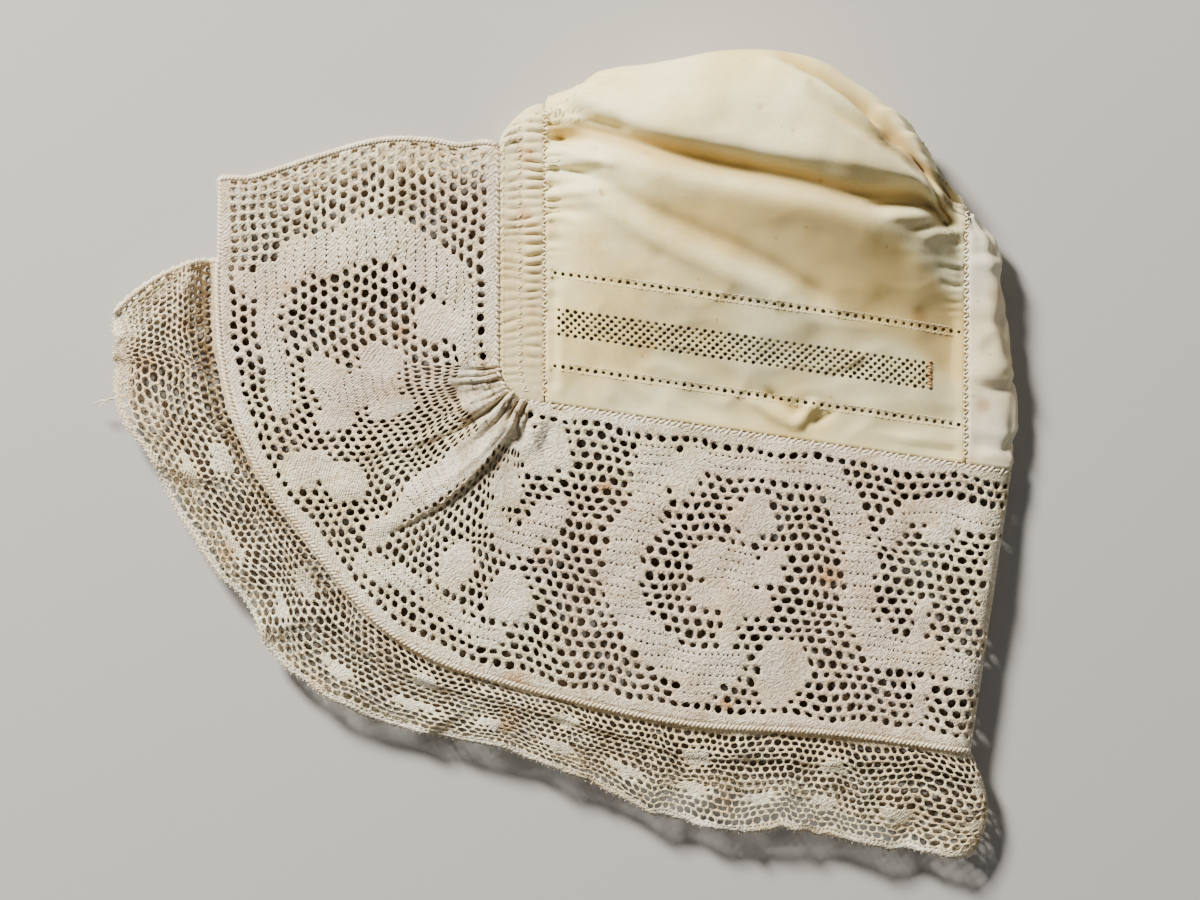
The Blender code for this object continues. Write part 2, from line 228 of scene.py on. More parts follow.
# %% Relief of the wide lace
PLEATS = [
    # share and turn at its start, the same at its end, height, steep side and gentle side in mm
    (0.30, 0.56, 0.66, 0.66, 0.8, 0.7, 1.4),
    (0.00, 0.36, 0.20, 0.43, 1.3, 0.4, 0.8),
    (0.05, 0.15, 0.90, 0.48, 2.4, 0.7, 6.5),
    (0.06, 0.20, 0.62, 0.44, 0.8, 0.5, 1.2),
    (0.00, 0.27, 0.38, 0.42, -1.1, 0.5, 0.9),
    (0.02, 0.43, 0.40, 0.54, -1.7, 0.6, 0.9),
    (0.00, 0.48, 0.30, 0.60, 1.2, 0.5, 1.6),
    (0.00, 0.52, 0.22, 0.64, -1.2, 0.5, 0.6),
    (0.00, 0.58, 0.24, 0.62, 0.9, 0.7, 1.6),
    (0.00, 0.70, 0.15, 0.74, -0.8, 0.5, 0.6),
    (0.00, 0.82, 0.14, 0.84, 0.8, 0.6, 1.2),
    (0.00, 0.93, 0.12, 0.95, -0.7, 0.5, 0.7),
    (0.00, 0.30, 0.24, 0.36, 1.4, 0.8, 1.6),
    (0.00, 0.20, 0.12, 0.24, -1.3, 0.5, 0.7),
    (0.00, 0.05, 0.16, 0.14, -1.2, 0.5, 0.8),
    (0.04, -0.04, 0.26, -0.02, 1.3, 0.8, 1.8),
    (0.03, -0.08, 0.30, -0.11, -0.9, 0.5, 0.7),
    (0.02, -0.16, 0.20, -0.20, 0.7, 0.8, 1.8),
    (0.55, 0.66, 0.80, 0.72, 0.7, 1.5, 1.5),
]


def lace_relief(along, share):
    turned = (along - FRONT_LENGTH) / LACE_FAN_LENGTH
    arc = TURN * (CORNER_RADIUS + LACE_WIDTH * share)
    height = -LACE_DROOP * smooth(share)
    if -0.35 < turned < 1.15:
        for start, first, end, last, rise, steep, gentle in PLEATS:
            place = (share - start) / (end - start)
            if -0.2 < place < 1:
                off = (turned - mix(first, last, place)) * arc / MM
                side = hill(off / (steep if off < 0 else gentle))
                fade = smooth((place + 0.2) / 0.4) * (1 - smooth(place)) ** 0.6
                height += rise * MM * side * fade
    place = strip_plan(along, share * LACE_WIDTH)
    near = smooth(share / 0.08) * smooth((1 - share) / 0.06)
    height += 0.9 * MM * near * rough(place.x, place.y, 24 * MM)
    height += 0.5 * MM * near * rough(place.x, place.y, 7 * MM, 4.0)
    reach = 0.22 + 0.10 * rough(place.x, place.y, 6 * MM, 17.0)
    gather = smooth(share / 0.02) * (1 - smooth((share - 0.02) / reach))
    gather *= smooth((turned + 0.25) / 0.2) * smooth((1.15 - turned) / 0.2)
    pleat = math.sin(2 * math.pi * (8 * turned + 1.3 * rough(place.x, place.y, 7 * MM, 16.0)))
    height += 0.6 * MM * gather * pleat
    crumple = (1 - smooth(share / 0.35)) * smooth((turned + 0.2) / 0.2)
    crumple *= smooth((1.1 - turned) / 0.2)
    height += 2.3 * MM * near * crumple * rough(place.x, place.y, 4 * MM, 14.0)
    return height


def corner_browning(along, share):
    """Browner in the gathered corner, most towards the seam."""
    turned = (along - FRONT_LENGTH) / LACE_FAN_LENGTH
    inside = smooth((turned + 0.2) / 0.3) * smooth((1.1 - turned) / 0.3)
    return 0.55 * inside * (1 - smooth(share / 0.75))


END_WAVES = [
    # share across the strip and how far its end falls short there, in millimetres
    (0.00, 0.0), (0.14, -3.0), (0.23, -2.5), (0.43, -1.4), (0.66, -2.2), (0.89, -2.6),
    (1.00, -0.6),
]


def lace_point(layer, along, share, rise=0.0):
    """The place of a point of the wide lace, share of the way across it."""
    bend = mix(FOLD_BEND, LACE_BEND, smooth(share / 0.35))
    end = LACE_END_HUMP * math.sin(math.pi * share**0.68) - LACE_END_SLANT * share
    end += table(END_WAVES, share) * MM
    up = max(0.0, along - FAN_END) / LACE_NECK_LENGTH
    plan = strip_plan(along, lace_width(along) * share, 1 + up * end / LACE_NECK_LENGTH)
    high = LACE_LIFT + lace_relief(along, share)
    z = strip_height(layer, along, bend, high)
    return PLAN_ORIGIN + Vector((*plan, max(z + layer * rise, THREAD / 2)))


print("pleats and creases at the corner:", len(PLEATS))

# %% [markdown]
# ## The pattern of the wide lace
#
# Bobbin lace has three textures: an open net with round holes, dense cloth stitch, and half
# stitch pierced by rows of pinholes. The pattern is laid out flat, with u along the strip from
# the fold and v across it from the crown's seam, both in millimetres, as a maker pricks it on
# card. Everything that no motif covers is net.

# %% The pricking
# A band follows its points and is half as wide as half says. A leaf is an ellipse.
BANDS = [
    {"texture": "pin", "half": 1.7, "points": [(0, 12.7), (26, 12.7), (30, 20.7)]},
    {"texture": "pin", "half": 3.0, "points": [(78, 7.2), (49, 7.2), (42, 13), (37, 25)]},
    {"texture": "pin", "half": 3.4, "points": [(37, 25), (34.5, 40), (29, 48), (0, 51.5)]},
    {"texture": "cloth", "half": 2.8, "points": [(2, 21), (2, 37)]},
    {"texture": "cloth", "half": 1.9, "points": [(19, 37), (19, 49)]},
    {"texture": "cloth", "half": 1.7, "points": [(16, 57), (16, 66)]},
    {"texture": "cloth", "half": 2.3, "points": [(65.5, 42), (65.5, 49)]},
    {"texture": "pin", "half": 4.2, "points": [(90.5, 5), (90.5, 21), (94.5, 31), (94.5, 41)]},
    {"texture": "pin", "half": 3.8, "points": [(94.5, 41), (90.5, 49), (79, 56), (64.5, 56)]},
    {"texture": "pin", "half": 2.8, "points": [(112, 26), (122, 36), (134, 30)]},
    {"texture": "cloth", "half": 8.5, "points": [(150, 6), (160, 22)]},
    {"texture": "pin", "half": 6.0, "points": [(160, 22), (166, 36)]},
    {"texture": "cloth", "half": 3.0, "points": [(166, 36), (168, 54)]},
    {"texture": "pin", "half": 6.0, "points": [(128, 6), (212, 6)]},
    {"texture": "pin", "half": 2.4, "points": [(212, 7.4), (240, 7.4)]},
    {"texture": "pin", "half": 4.4, "points": [(241, 5), (250, 17), (256, 26), (255, 39)]},
    {"texture": "pin", "half": 4.4, "points": [(255, 39), (252, 50), (247.5, 61)]},
    {"texture": "pin", "half": 3.0, "points": [(215, 57), (249, 57)]},
    {"texture": "pin", "half": 2.2, "points": [(124, 60), (148, 56), (166, 62)]},
]
LEAVES = [
    {"texture": "cloth", "middle": (17.2, 17.0), "half": (3.6, 3.2)},
    {"texture": "cloth", "middle": (64.7, 20.0), "half": (5.4, 4.2)},
    {"texture": "cloth", "middle": (58.5, 31.0), "half": (3.4, 4.6)},
    {"texture": "cloth", "middle": (74.3, 31.0), "half": (3.4, 4.6)},
    {"texture": "cloth", "middle": (60.5, 40.0), "half": (4.4, 3.6)},
    {"texture": "cloth", "middle": (72.3, 40.0), "half": (4.4, 3.6)},
    {"texture": "pin", "middle": (66.4, 33.6), "half": (6.4, 7.0)},
    {"texture": "cloth", "middle": (82.0, 11.5), "half": (3.6, 6.0)},
    {"texture": "pin", "middle": (71.6, 63.5), "half": (4.4, 3.6)},
    {"texture": "cloth", "middle": (51.3, 56.9), "half": (5.4, 8.2)},
    {"texture": "cloth", "middle": (118.0, 11.5), "half": (6.6, 5.6)},
    {"texture": "cloth", "middle": (121.5, 49.6), "half": (6.0, 6.4)},
    {"texture": "cloth", "middle": (130.0, 22.0), "half": (8.0, 6.0)},
    {"texture": "cloth", "middle": (140.0, 46.0), "half": (5.6, 5.6)},
    {"texture": "cloth", "middle": (186.0, 52.0), "half": (6.0, 5.0)},
    {"texture": "cloth", "middle": (206.5, 30.0), "half": (4.6, 6.2)},
    {"texture": "cloth", "middle": (226.5, 30.0), "half": (4.6, 6.2)},
    {"texture": "cloth", "middle": (208.5, 45.5), "half": (5.0, 5.2)},
    {"texture": "cloth", "middle": (224.5, 45.5), "half": (5.0, 5.2)},
    {"texture": "pin", "middle": (216.5, 37.0), "half": (7.4, 11.0)},
    {"texture": "cloth", "middle": (236.8, 14.5), "half": (3.8, 6.6)},
    {"texture": "cloth", "middle": (196.3, 59.0), "half": (5.2, 6.6)},
]


def off_band(x, y, band):
    """How far a place lies outside a band, in millimetres."""
    best = 99.0
    for (ax, ay), (bx, by) in zip(band["points"], band["points"][1:]):
        share = ((x - ax) * (bx - ax) + (y - ay) * (by - ay)) / ((bx - ax) ** 2 + (by - ay) ** 2)
        share = min(1.0, max(0.0, share))
        best = min(best, math.hypot(x - mix(ax, bx, share), y - mix(ay, by, share)))
    return best - band["half"]


def off_leaf(x, y, leaf):
    (mx, my), (hx, hy) = leaf["middle"], leaf["half"]
    return (math.hypot((x - mx) / hx, (y - my) / hy) - 1) * min(hx, hy)


def wide_texture(u, v):
    """The texture of the wide lace at a place in mm, and how far off the next motif is."""
    if v < 2.8 or v > 67.2:
        return "cloth", 0.0
    if v > 56 and 252 - 0.35 * (v - 56) < u:
        return "square", 9.0
    if v < 5.6 or v > 64.4:
        return "net", 1.0
    near, texture = 99.0, "net"
    for motifs, off in ((LEAVES, off_leaf), (BANDS, off_band)):
        for motif in motifs:
            distance = off(u, v, motif)
            if distance < 0 <= near:
                texture = motif["texture"]
            near = min(near, distance)
    return texture, near


print("motifs:", len(BANDS), "bands and", len(LEAVES), "leaves")

# %% [markdown]
# ## Making lace from a grid
#
# Lace could be thousands of little tubes, but that is slow and hard to shade. Here it starts as
# a flat grid. Dissolving the middle point of a two by two block leaves one face with eight
# corners, insetting it leaves a ring of thread, and deleting the inner face opens the hole.
# Every second row of blocks is shifted by one cell, which gives the staggered holes of a real
# net, except in the squared net at the neck. Pinholes are insets of single cells. No two holes
# of handmade lace are the same, so each gets its own size, lean and corners, and a hole beside
# a motif is smaller.

# %% Lace from a grid
def flat_grid(u_places, v_places):
    """A grid with corners at the given places, and its points by column and row."""
    bm = bmesh.new()
    bm.verts.layers.float.new("dense")
    bm.verts.layers.float.new("hidden")
    bm.verts.layers.float.new("browning_and_painted_shade")
    bm.loops.layers.uv.new("flat")
    columns, rows = len(u_places) - 1, len(v_places) - 1
    bmesh.ops.create_grid(bm, x_segments=columns, y_segments=rows, size=0.5)
    points = {}
    for vert in bm.verts:
        i = round((vert.co.x + 0.5) * columns)
        j = round((vert.co.y + 0.5) * rows)
        points[i, j] = vert
        vert.co = (u_places[i], v_places[j], 0)
    return bm, points


def keep_flat(bm, u_size=1.0, v_size=1.0):
    """Keeps each corner's place on the flat grid, scaled to flat lengths, in the UV map."""
    flat_map = bm.loops.layers.uv["flat"]
    for face in bm.faces:
        for loop in face.loops:
            loop[flat_map].uv = (loop.vert.co.x * u_size, loop.vert.co.y * v_size)


def open_holes(bm, faces, half_u, half_v, ring, openness=lambda place: 1.0):
    """Insets faces, rounds the inner faces to uneven ellipses and deletes them."""
    if not faces:
        return
    bm.normal_update()
    bmesh.ops.inset_individual(bm, faces=faces, thickness=ring, use_even_offset=True)
    for face in faces:
        middle = face.calc_center_median()
        lean = Matrix.Rotation(1.6 * rough(middle.x, middle.y, 9 * MM, 22.0), 3, "Z")
        own = openness(middle) * (1 + 0.42 * rough(middle.x, middle.y, 2.1 * MM, 21.0))
        for vert in face.verts:
            off = lean @ (vert.co - middle)
            size = math.hypot(off.x / half_u, off.y / half_v)
            uneven = 1 + 0.35 * rough(vert.co.x, vert.co.y, 0.8 * MM, 23.0)
            vert.co = middle + (vert.co - middle) * (min(1.12, own * uneven) / max(size, 1e-9))
    bmesh.ops.delete(bm, geom=faces, context="FACES_ONLY")


def make_lace(u_places, v_places, texture, hole, pinhole, shift=0):
    """Flat lace: net blocks, pinholed cells and plain cells, with its thread raised.

    A shift of 1 moves the net's holes by one cell, so that the lower layer's holes don't lie
    under those of the upper one.
    """
    bm, points = flat_grid(u_places, v_places)
    columns, rows = len(u_places) - 1, len(v_places) - 1
    dense = bm.verts.layers.float["dense"]
    middles = []
    for j in range(1, rows, 2):
        last = -1
        for i in range(1, columns):
            kind = texture(u_places[i] / MM, v_places[j] / MM)[0]
            turn = (shift + (j // 2 if kind == "net" else 0)) % 2
            if kind in ("net", "square") and i % 2 != turn and i - last > 1:
                middles.append(points[i, j])
                last = i
    for vert in bm.verts:
        vert[dense] = 1.0
    for vert in middles:
        for edge in vert.link_edges:
            edge.other_vert(vert)[dense] = 0.0
    bmesh.ops.dissolve_verts(bm, verts=middles)
    net = [face for face in bm.faces if len(face.verts) > 4]
    pins = []
    for face in bm.faces:
        if len(face.verts) == 4:
            middle = face.calc_center_median()
            row = int(middle.y / v_places[1])
            if texture(middle.x / MM, middle.y / MM)[0] == "pin" and row % 2 == 0:
                pins.append(face)
    for vert in bm.verts:
        vert.co.z = (0.12 + 0.10 * vert[dense]) * MM

    def openness(place):
        return 0.62 + 0.38 * smooth(texture(place.x / MM, place.y / MM)[1] / 1.6)

    open_holes(bm, net, *hole, openness)
    open_holes(bm, pins, *pinhole)
    return bm, len(net), len(pins)


def spread(start, end, step):
    """Evenly spaced places from start to end, an even number of steps of about this size."""
    count = 2 * max(1, round((end - start) / step / 2))
    return [start + (end - start) * k / count for k in range(count + 1)]


def add_piece(name, bm, material, thickness=0.0, inside=None):
    """Makes a piece from a bmesh, facing outwards, and lets it ride on the bonnet.

    A piece with an inside material faces down, and shows that material from above.
    """
    bmesh.ops.recalc_face_normals(bm, faces=bm.faces)
    if inside and sum(face.normal.z * face.calc_area() for face in bm.faces) > 0:
        bmesh.ops.reverse_faces(bm, faces=bm.faces)
    mesh = bpy.data.meshes.new(name)
    bm.to_mesh(mesh)
    bm.free()
    mesh.shade_smooth()
    mesh.materials.append(material)
    piece = bpy.data.objects.new(name, mesh)
    bpy.context.scene.collection.objects.link(piece)
    if thickness:
        wall = piece.modifiers.new("wall", "SOLIDIFY")
        wall.thickness = thickness
        wall.offset = 0
        if inside:
            mesh.materials.append(inside)
            wall.material_offset = wall.material_offset_rim = 1
    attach(piece, "root")
    return piece


def triangles(piece):
    graph = bpy.context.evaluated_depsgraph_get()
    mesh = piece.evaluated_get(graph).to_mesh()
    return sum(len(face.vertices) - 2 for face in mesh.polygons)


print("a strip in steps:", [round(p, 2) for p in spread(0, 1, 0.3)])

# %% [markdown]
# ## Materials
#
# A material is a small network of nodes. Wiring it by hand takes many lines, so one short class
# wraps a socket: adding, subtracting or multiplying such sockets adds the Math nodes, and every
# other node comes from the method `make`. Numbers that are the same all over stay on the shader.

# %% Shader maths
class Shade:
    """A socket of a material, so that its maths reads as Python."""

    def __init__(self, tree, socket=None):
        self.tree, self.socket = tree, socket

    def make(self, kind, settings=None, values=None, output=0):
        node = self.tree.nodes.new(kind)
        for name, value in (settings or {}).items():
            if name == "stops":
                for element, (place, shade) in zip(node.color_ramp.elements, value):
                    element.position = place
                    element.color = (shade, shade, shade, 1)
            else:
                setattr(node, name, value)
        for key, value in (values or {}).items():
            if isinstance(value, Shade):
                self.tree.links.new(value.socket, node.inputs[key])
            else:
                node.inputs[key].default_value = value
        return Shade(self.tree, node.outputs[output])

    def maths(self, operation, a, b=0.0):
        return self.make("ShaderNodeMath", {"operation": operation}, {0: a, 1: b})

    def __add__(self, other):
        return self.maths("ADD", self, other)

    def __sub__(self, other):
        return self.maths("SUBTRACT", self, other)

    def __rsub__(self, other):
        return self.maths("SUBTRACT", other, self)

    def __mul__(self, other):
        return self.maths("MULTIPLY", self, other)

    __radd__ = __add__
    __rmul__ = __mul__

    def attribute(self, name):
        return self.make("ShaderNodeAttribute", {"attribute_name": name}, None, 2)

    def sine(self):
        return self.maths("SINE", self)

    def between(self, low, high):
        """0 below low, 1 above high and a ramp between them."""
        values = {"Value": self, "From Min": low, "From Max": high}
        return self.make("ShaderNodeMapRange", {"interpolation_type": "SMOOTHSTEP"}, values)

    def blend(self, a, b):
        """The colour a where this is 0 and b where it is 1."""
        values = {0: self, 6: a, 7: b}
        return self.make("ShaderNodeMix", {"data_type": "RGBA"}, values, 2)


def tint(red, green, blue):
    """A colour from the 0 to 255 values that a screen shows."""
    linear = []
    for value in (red, green, blue):
        share = value / 255
        linear.append(share / 12.92 if share <= 0.04045 else ((share + 0.055) / 1.055) ** 2.4)
    return (*linear, 1.0)


print("a cream in linear light:", [round(c, 3) for c in tint(242, 232, 205)])

# %% [markdown]
# Old cotton is cream, not white, and not evenly so. It has yellowed in clouds, it has rust brown
# spots where it lay folded, and its weave shows from close by. Its folds and hollows get a
# painted tan shade, which the crown stores in an attribute. The weave follows the piece's own UV
# map, which holds flat cloth lengths. The clouds and spots follow Object coordinates.

# %% Cloth materials
def spots_at(shade, places):
    """A mask of soft round spots at (x, y, radius), in millimetres from the origin."""
    position = shade.make("ShaderNodeTexCoord", output=3)
    mask = None
    for x, y, radius in places:
        values = {0: position, 1: (x * MM, y * MM, 0)}
        off = shade.make("ShaderNodeVectorMath", {"operation": "SUBTRACT"}, values)
        flat = shade.make("ShaderNodeVectorMath", {"operation": "MULTIPLY"}, {0: off, 1: (1, 1, 0)})
        far = shade.make("ShaderNodeVectorMath", {"operation": "LENGTH"}, {0: flat}, 1)
        spot = 1 - far.between(0.2 * radius * MM, radius * MM)
        mask = spot if mask is None else mask.maths("MAXIMUM", mask, spot)
    return mask


def clouds(shade, size, detail=3.0):
    """Soft noise from 0 to 1 with features about as wide as size."""
    position = shade.make("ShaderNodeTexCoord", output=3)
    values = {"Vector": position, "Scale": 1 / size, "Detail": detail, "Roughness": 0.55}
    return shade.make("ShaderNodeTexNoise", None, values)


def start_material(name, roughness, sheen):
    material = bpy.data.materials.new(name)
    material.use_nodes = True
    shader = material.node_tree.nodes["Principled BSDF"]
    shader.inputs["Roughness"].default_value = roughness
    shader.inputs["Sheen Weight"].default_value = sheen
    shader.inputs["Sheen Roughness"].default_value = 0.5
    shader.inputs["Specular IOR Level"].default_value = 0.2
    return material, shader, Shade(material.node_tree)


def bump(shade, shader, height, depth):
    values = {"Height": height, "Strength": 1.0, "Distance": depth}
    normal = shade.make("ShaderNodeBump", None, values)
    shade.tree.links.new(normal.socket, shader.inputs["Normal"])


def weave(shade, pitch, wander=0.0):
    """Threads over and under each other, from -1 to 1, on the piece's own UV map."""
    flat = shade.make("ShaderNodeUVMap", {"uv_map": "flat"})
    u = shade.make("ShaderNodeSeparateXYZ", None, {0: flat}, 0)
    v = shade.make("ShaderNodeSeparateXYZ", None, {0: flat}, 1)
    turns = 2 * math.pi / pitch
    if wander:
        sway = clouds(shade, 5 * MM) * wander
        return (u * turns + sway).sine() * (v * turns - sway * 1.3).sine()
    return (u * turns).sine() * (v * turns).sine()


def cloth_material(name, light, deep, stain, places, pitch=0.45 * MM):
    """Woven cotton, clouded from light to deep, with stains at the given places.

    Where the attribute dense is high, as in the crown's folds, a painted tan shade is laid on.
    """
    material, shader, shade = start_material(name, 0.85, 0.2)
    fold = shade.attribute("dense")
    cloud = clouds(shade, 34 * MM).between(0.34, 0.68)
    fleck = clouds(shade, 1.2 * MM, 2.0).between(0.3, 0.75)
    colour = (cloud * 0.7 + fleck * 0.3).blend(light, deep)
    # painted shade: the crown's folds and hollows, given by the attribute dense, are tinted tan
    colour = (fold * 0.8).blend(colour, tint(208, 176, 100))
    ring = clouds(shade, 9 * MM).between(0.25, 0.7)
    colour = (spots_at(shade, places) * ring * 0.6).blend(colour, stain)
    freckle = 1 - clouds(shade, 2.6 * MM, 0.0).between(0.12, 0.20)
    colour = (freckle * 0.5).blend(colour, stain)
    shade.tree.links.new(colour.socket, shader.inputs["Base Color"])
    threads = weave(shade, pitch)
    slub = clouds(shade, 2.5 * MM, 4.0)
    bump(shade, shader, threads * 0.35 + slub * 0.8, 0.14 * MM)
    return material


rust = tint(186, 128, 66)
cotton = cloth_material(
    "cream cotton", tint(255, 246, 198), tint(243, 215, 138), rust,
    [(48, 85, 1.4), (56, 79, 1.0), (60, 91, 1.6), (63, 67, 0.9), (-3, 56, 2.6), (77, 77, 4),
     (34, 92, 1.0), (20, 27, 4), (52, 53, 1.0), (88, 34, 3)],
)
# a lighter copy of the cream cotton: painted light on the band, which faces away from the lamp
lit_band_cotton = cloth_material(
    "lit band cotton", tint(255, 250, 224), tint(250, 228, 176), rust,
    [(104, 12, 3), (100, -2, 4), (107, 40, 3)],
)
# a darker copy of the cream cotton: painted shade on the drawn-up casing
shaded_casing_cotton = cloth_material(
    "shaded casing cotton", tint(240, 226, 182), tint(216, 190, 132), rust,
    [(-10, 60, 3), (-9, 74, 4), (-8, 36, 2)],
)
print("cloth materials:", cotton.name, lit_band_cotton.name, shaded_casing_cotton.name)

# %% [markdown]
# Lace takes a material of its own. The attribute `dense` is 1 in cloth stitch and 0 beside the
# holes of the net. Dense places are lighter and show the criss-cross of the thread, with painted
# shade between the threads, and the net is rounder and painted darker beside its holes. A second
# attribute browns the gathered corner and lays painted shade in the edging's hollow by its seam,
# and `hidden` marks where the inner side of the lower layer gets a painted shadow, as the upper
# layer shades it. The wide lace is pinkish grey in places, the edging yellower.

# %% Lace materials
def lace_material(name, light, deep, grey, stain, places, pitch, shadow=None):
    """Lace thread, browned in the gathered corner and given painted shade in the edging's hollow.

    Where the attribute hidden is 1, a shadow tint takes the light's place.
    """
    material, shader, shade = start_material(name, 0.9, 0.15)
    dense = shade.attribute("dense")
    cloud = clouds(shade, 26 * MM).between(0.38, 0.66)
    patch = clouds(shade, 50 * MM, 1.0).between(0.46, 0.60)
    grain = clouds(shade, 0.85 * MM, 2.0).between(0.40, 0.66)
    threads = weave(shade, pitch, 22.0)
    # painted shade: the thread beside the net's holes is made darker than cloth stitch
    colour = (cloud * 0.4 + (1 - dense) * 0.5).blend(light, deep)
    colour = (patch * 0.6).blend(colour, grey)
    soil = clouds(shade, 9 * MM, 4.0).between(0.44, 0.66)
    colour = (soil * 0.45).blend(colour, tint(206, 182, 142))
    colour = (grain * 0.5).blend(colour, tint(158, 130, 90))
    # painted shade in the lines between the threads of the weave
    between = (1 - threads.maths("ABSOLUTE", threads)).between(0.55, 1.0)
    colour = (between * 0.22).blend(colour, tint(150, 122, 82))
    browning_and_painted_shade = shade.attribute("browning_and_painted_shade")
    # brown in the gathered corner, and painted shade in the edging's hollow by its seam
    colour = (browning_and_painted_shade * (0.35 + soil * 0.35)).blend(colour, tint(142, 112, 72))
    ring = clouds(shade, 7 * MM).between(0.25, 0.65)
    colour = (spots_at(shade, places) * ring * 0.75).blend(colour, stain)
    if shadow:
        hidden = shade.attribute("hidden")
        colour = (hidden * 0.92).blend(colour, shadow)
    shade.tree.links.new(colour.socket, shader.inputs["Base Color"])
    fuzz = clouds(shade, 0.75 * MM, 2.0)
    bump(shade, shader, threads * (0.15 + dense * 0.25) + fuzz * 2.2, 0.20 * MM)
    return material


wide_thread = lace_material(
    "wide lace thread", tint(253, 247, 224), tint(230, 212, 168), tint(228, 203, 188), rust,
    [(-66, -49, 7), (-14, -57, 8), (-97, 31, 4), (-5, -25, 4), (-68, 42, 3), (10, -8, 3),
     (-40, 30, 3), (66, -30, 5), (40, -62, 3)],
    1.05 * MM,
)
edging_thread = lace_material(
    "edging thread", tint(255, 251, 228), tint(236, 217, 170), tint(222, 200, 160), rust,
    [(-96, 32, 5), (-104, 22, 4), (-84, -24, 4), (-14, -66, 5), (40, -88, 4), (-62, -58, 5)],
    1.05 * MM,
)
# a darker copy of the lace for the lower layer: painted shade, with a painted shadow tint where the
# attribute hidden is 1
shaded_inner_thread = lace_material(
    "shaded inner side of the lace", tint(236, 226, 198), tint(208, 188, 146), tint(208, 184, 168), rust,
    [(-14, -57, 8), (-84, -24, 4)], 1.05 * MM, tint(84, 64, 42),
)
print("lace materials:", wide_thread.name, edging_thread.name, shaded_inner_thread.name)

# %% [markdown]
# ## The wide lace
#
# The flat lace is worked first, hole by hole, and then every point is moved to its place on the
# bonnet. The flat strip is longer round the corner than the seam it is sewn to, which is why the
# net crowds together there, just as gathered lace does. Over the fold, length on the cloth is
# measured round the bend. The upper and lower halves are two meshes that meet at the fold.

# %% The wide lace
FLAT_FAN = 104 * MM
FLAT_NECK = 50 * MM
BEND_LENGTH = math.pi / 4 * (LACE_BEND + (LACE_LIFT - GROUND) / 2)
HALF_FLAT = FRONT_LENGTH + FLAT_FAN + FLAT_NECK + BEND_LENGTH - LACE_BEND
# half length, half width and the ring of thread round a hole
NET_HOLE = (0.99 * MM, 0.89 * MM, 0.28 * MM)
PINHOLE = (0.31 * MM, 0.34 * MM, 0.26 * MM)


def along_seam(flat, flat_neck, neck):
    """Where a length on the flat strip comes to lie along the seam."""
    if flat < BEND_LENGTH:
        return LACE_BEND * (1 - math.cos(math.pi / 2 * flat / BEND_LENGTH))
    flat += LACE_BEND - BEND_LENGTH
    if flat <= FRONT_LENGTH:
        return flat
    if flat <= FRONT_LENGTH + FLAT_FAN:
        return FRONT_LENGTH + (flat - FRONT_LENGTH) / FLAT_FAN * LACE_FAN_LENGTH
    return FAN_END + min(1.0, (flat - FRONT_LENGTH - FLAT_FAN) / flat_neck) * neck


def lay_strip(bm, layer, point, browning_and_shade, width, flat_neck, neck):
    """Moves flat lace to its place, and keeps its flat lengths in a UV map."""
    hidden, browning_and_painted_shade = bm.verts.layers.float["hidden"], bm.verts.layers.float["browning_and_painted_shade"]
    length = max(vert.co.x for vert in bm.verts)
    keep_flat(bm)
    for vert in bm.verts:
        u, v, rise = vert.co
        # hidden marks where the lower layer's inner side gets painted shadow, fading at the edging's
        # outer border and the strip's end
        border = 1.0 if width == LACE_WIDTH else smooth((width - v) / (8 * MM))
        vert[hidden] = border * smooth((length - u) / (8 * MM))
        free = smooth(v / (3 * MM)) * smooth((width - v) / (3 * MM)) * smooth(u / (5 * MM))
        pull = 1.5 * rough(u, v, 11 * MM, 30.0 + layer) + 0.5 * rough(u, v, 3.5 * MM, 32.0)
        sway = 1.5 * rough(u, v, 11 * MM, 35.0 + layer) + 0.5 * rough(u, v, 3.5 * MM, 37.0)
        u, v = u + free * pull * MM, v + free * sway * MM
        along = along_seam(max(0.0, u), flat_neck, neck)
        # browning in the corner, and painted shade in the edging's hollow
        vert[browning_and_painted_shade] = browning_and_shade(along, v / width)
        vert.co = point(layer, along, v / width, rise)


wide_lace, wide_area = {}, {}
for layer, name in ((UPPER, "upper"), (LOWER, "lower")):
    bm, holes, pinholes = make_lace(
        spread(0, HALF_FLAT, 1.4 * MM), spread(0, LACE_WIDTH, 1.25 * MM), wide_texture,
        NET_HOLE, PINHOLE, layer == LOWER,
    )
    wide_area[layer] = sum(face.calc_area() for face in bm.faces)
    lay_strip(bm, layer, lace_point, corner_browning, LACE_WIDTH, FLAT_NECK, LACE_NECK_LENGTH)
    inside = shaded_inner_thread if layer == LOWER else None
    wide_lace[layer] = add_piece(f"wide_lace_{name}", bm, wide_thread, THREAD, inside)
    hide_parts("wide_lace")
    print(name, "holes:", holes, "pinholes:", pinholes, "triangles:", triangles(wide_lace[layer]))

# %% [markdown]
# ## The lace edging
#
# The edging is a finer net, worked in the same way with smaller cells. It is sewn to the wide
# lace's outer edge, ruffles a little and curls back over itself, so its reach changes along the
# strip. Its last rows are dense and end in picots, the small loops of a bobbin lace edge.

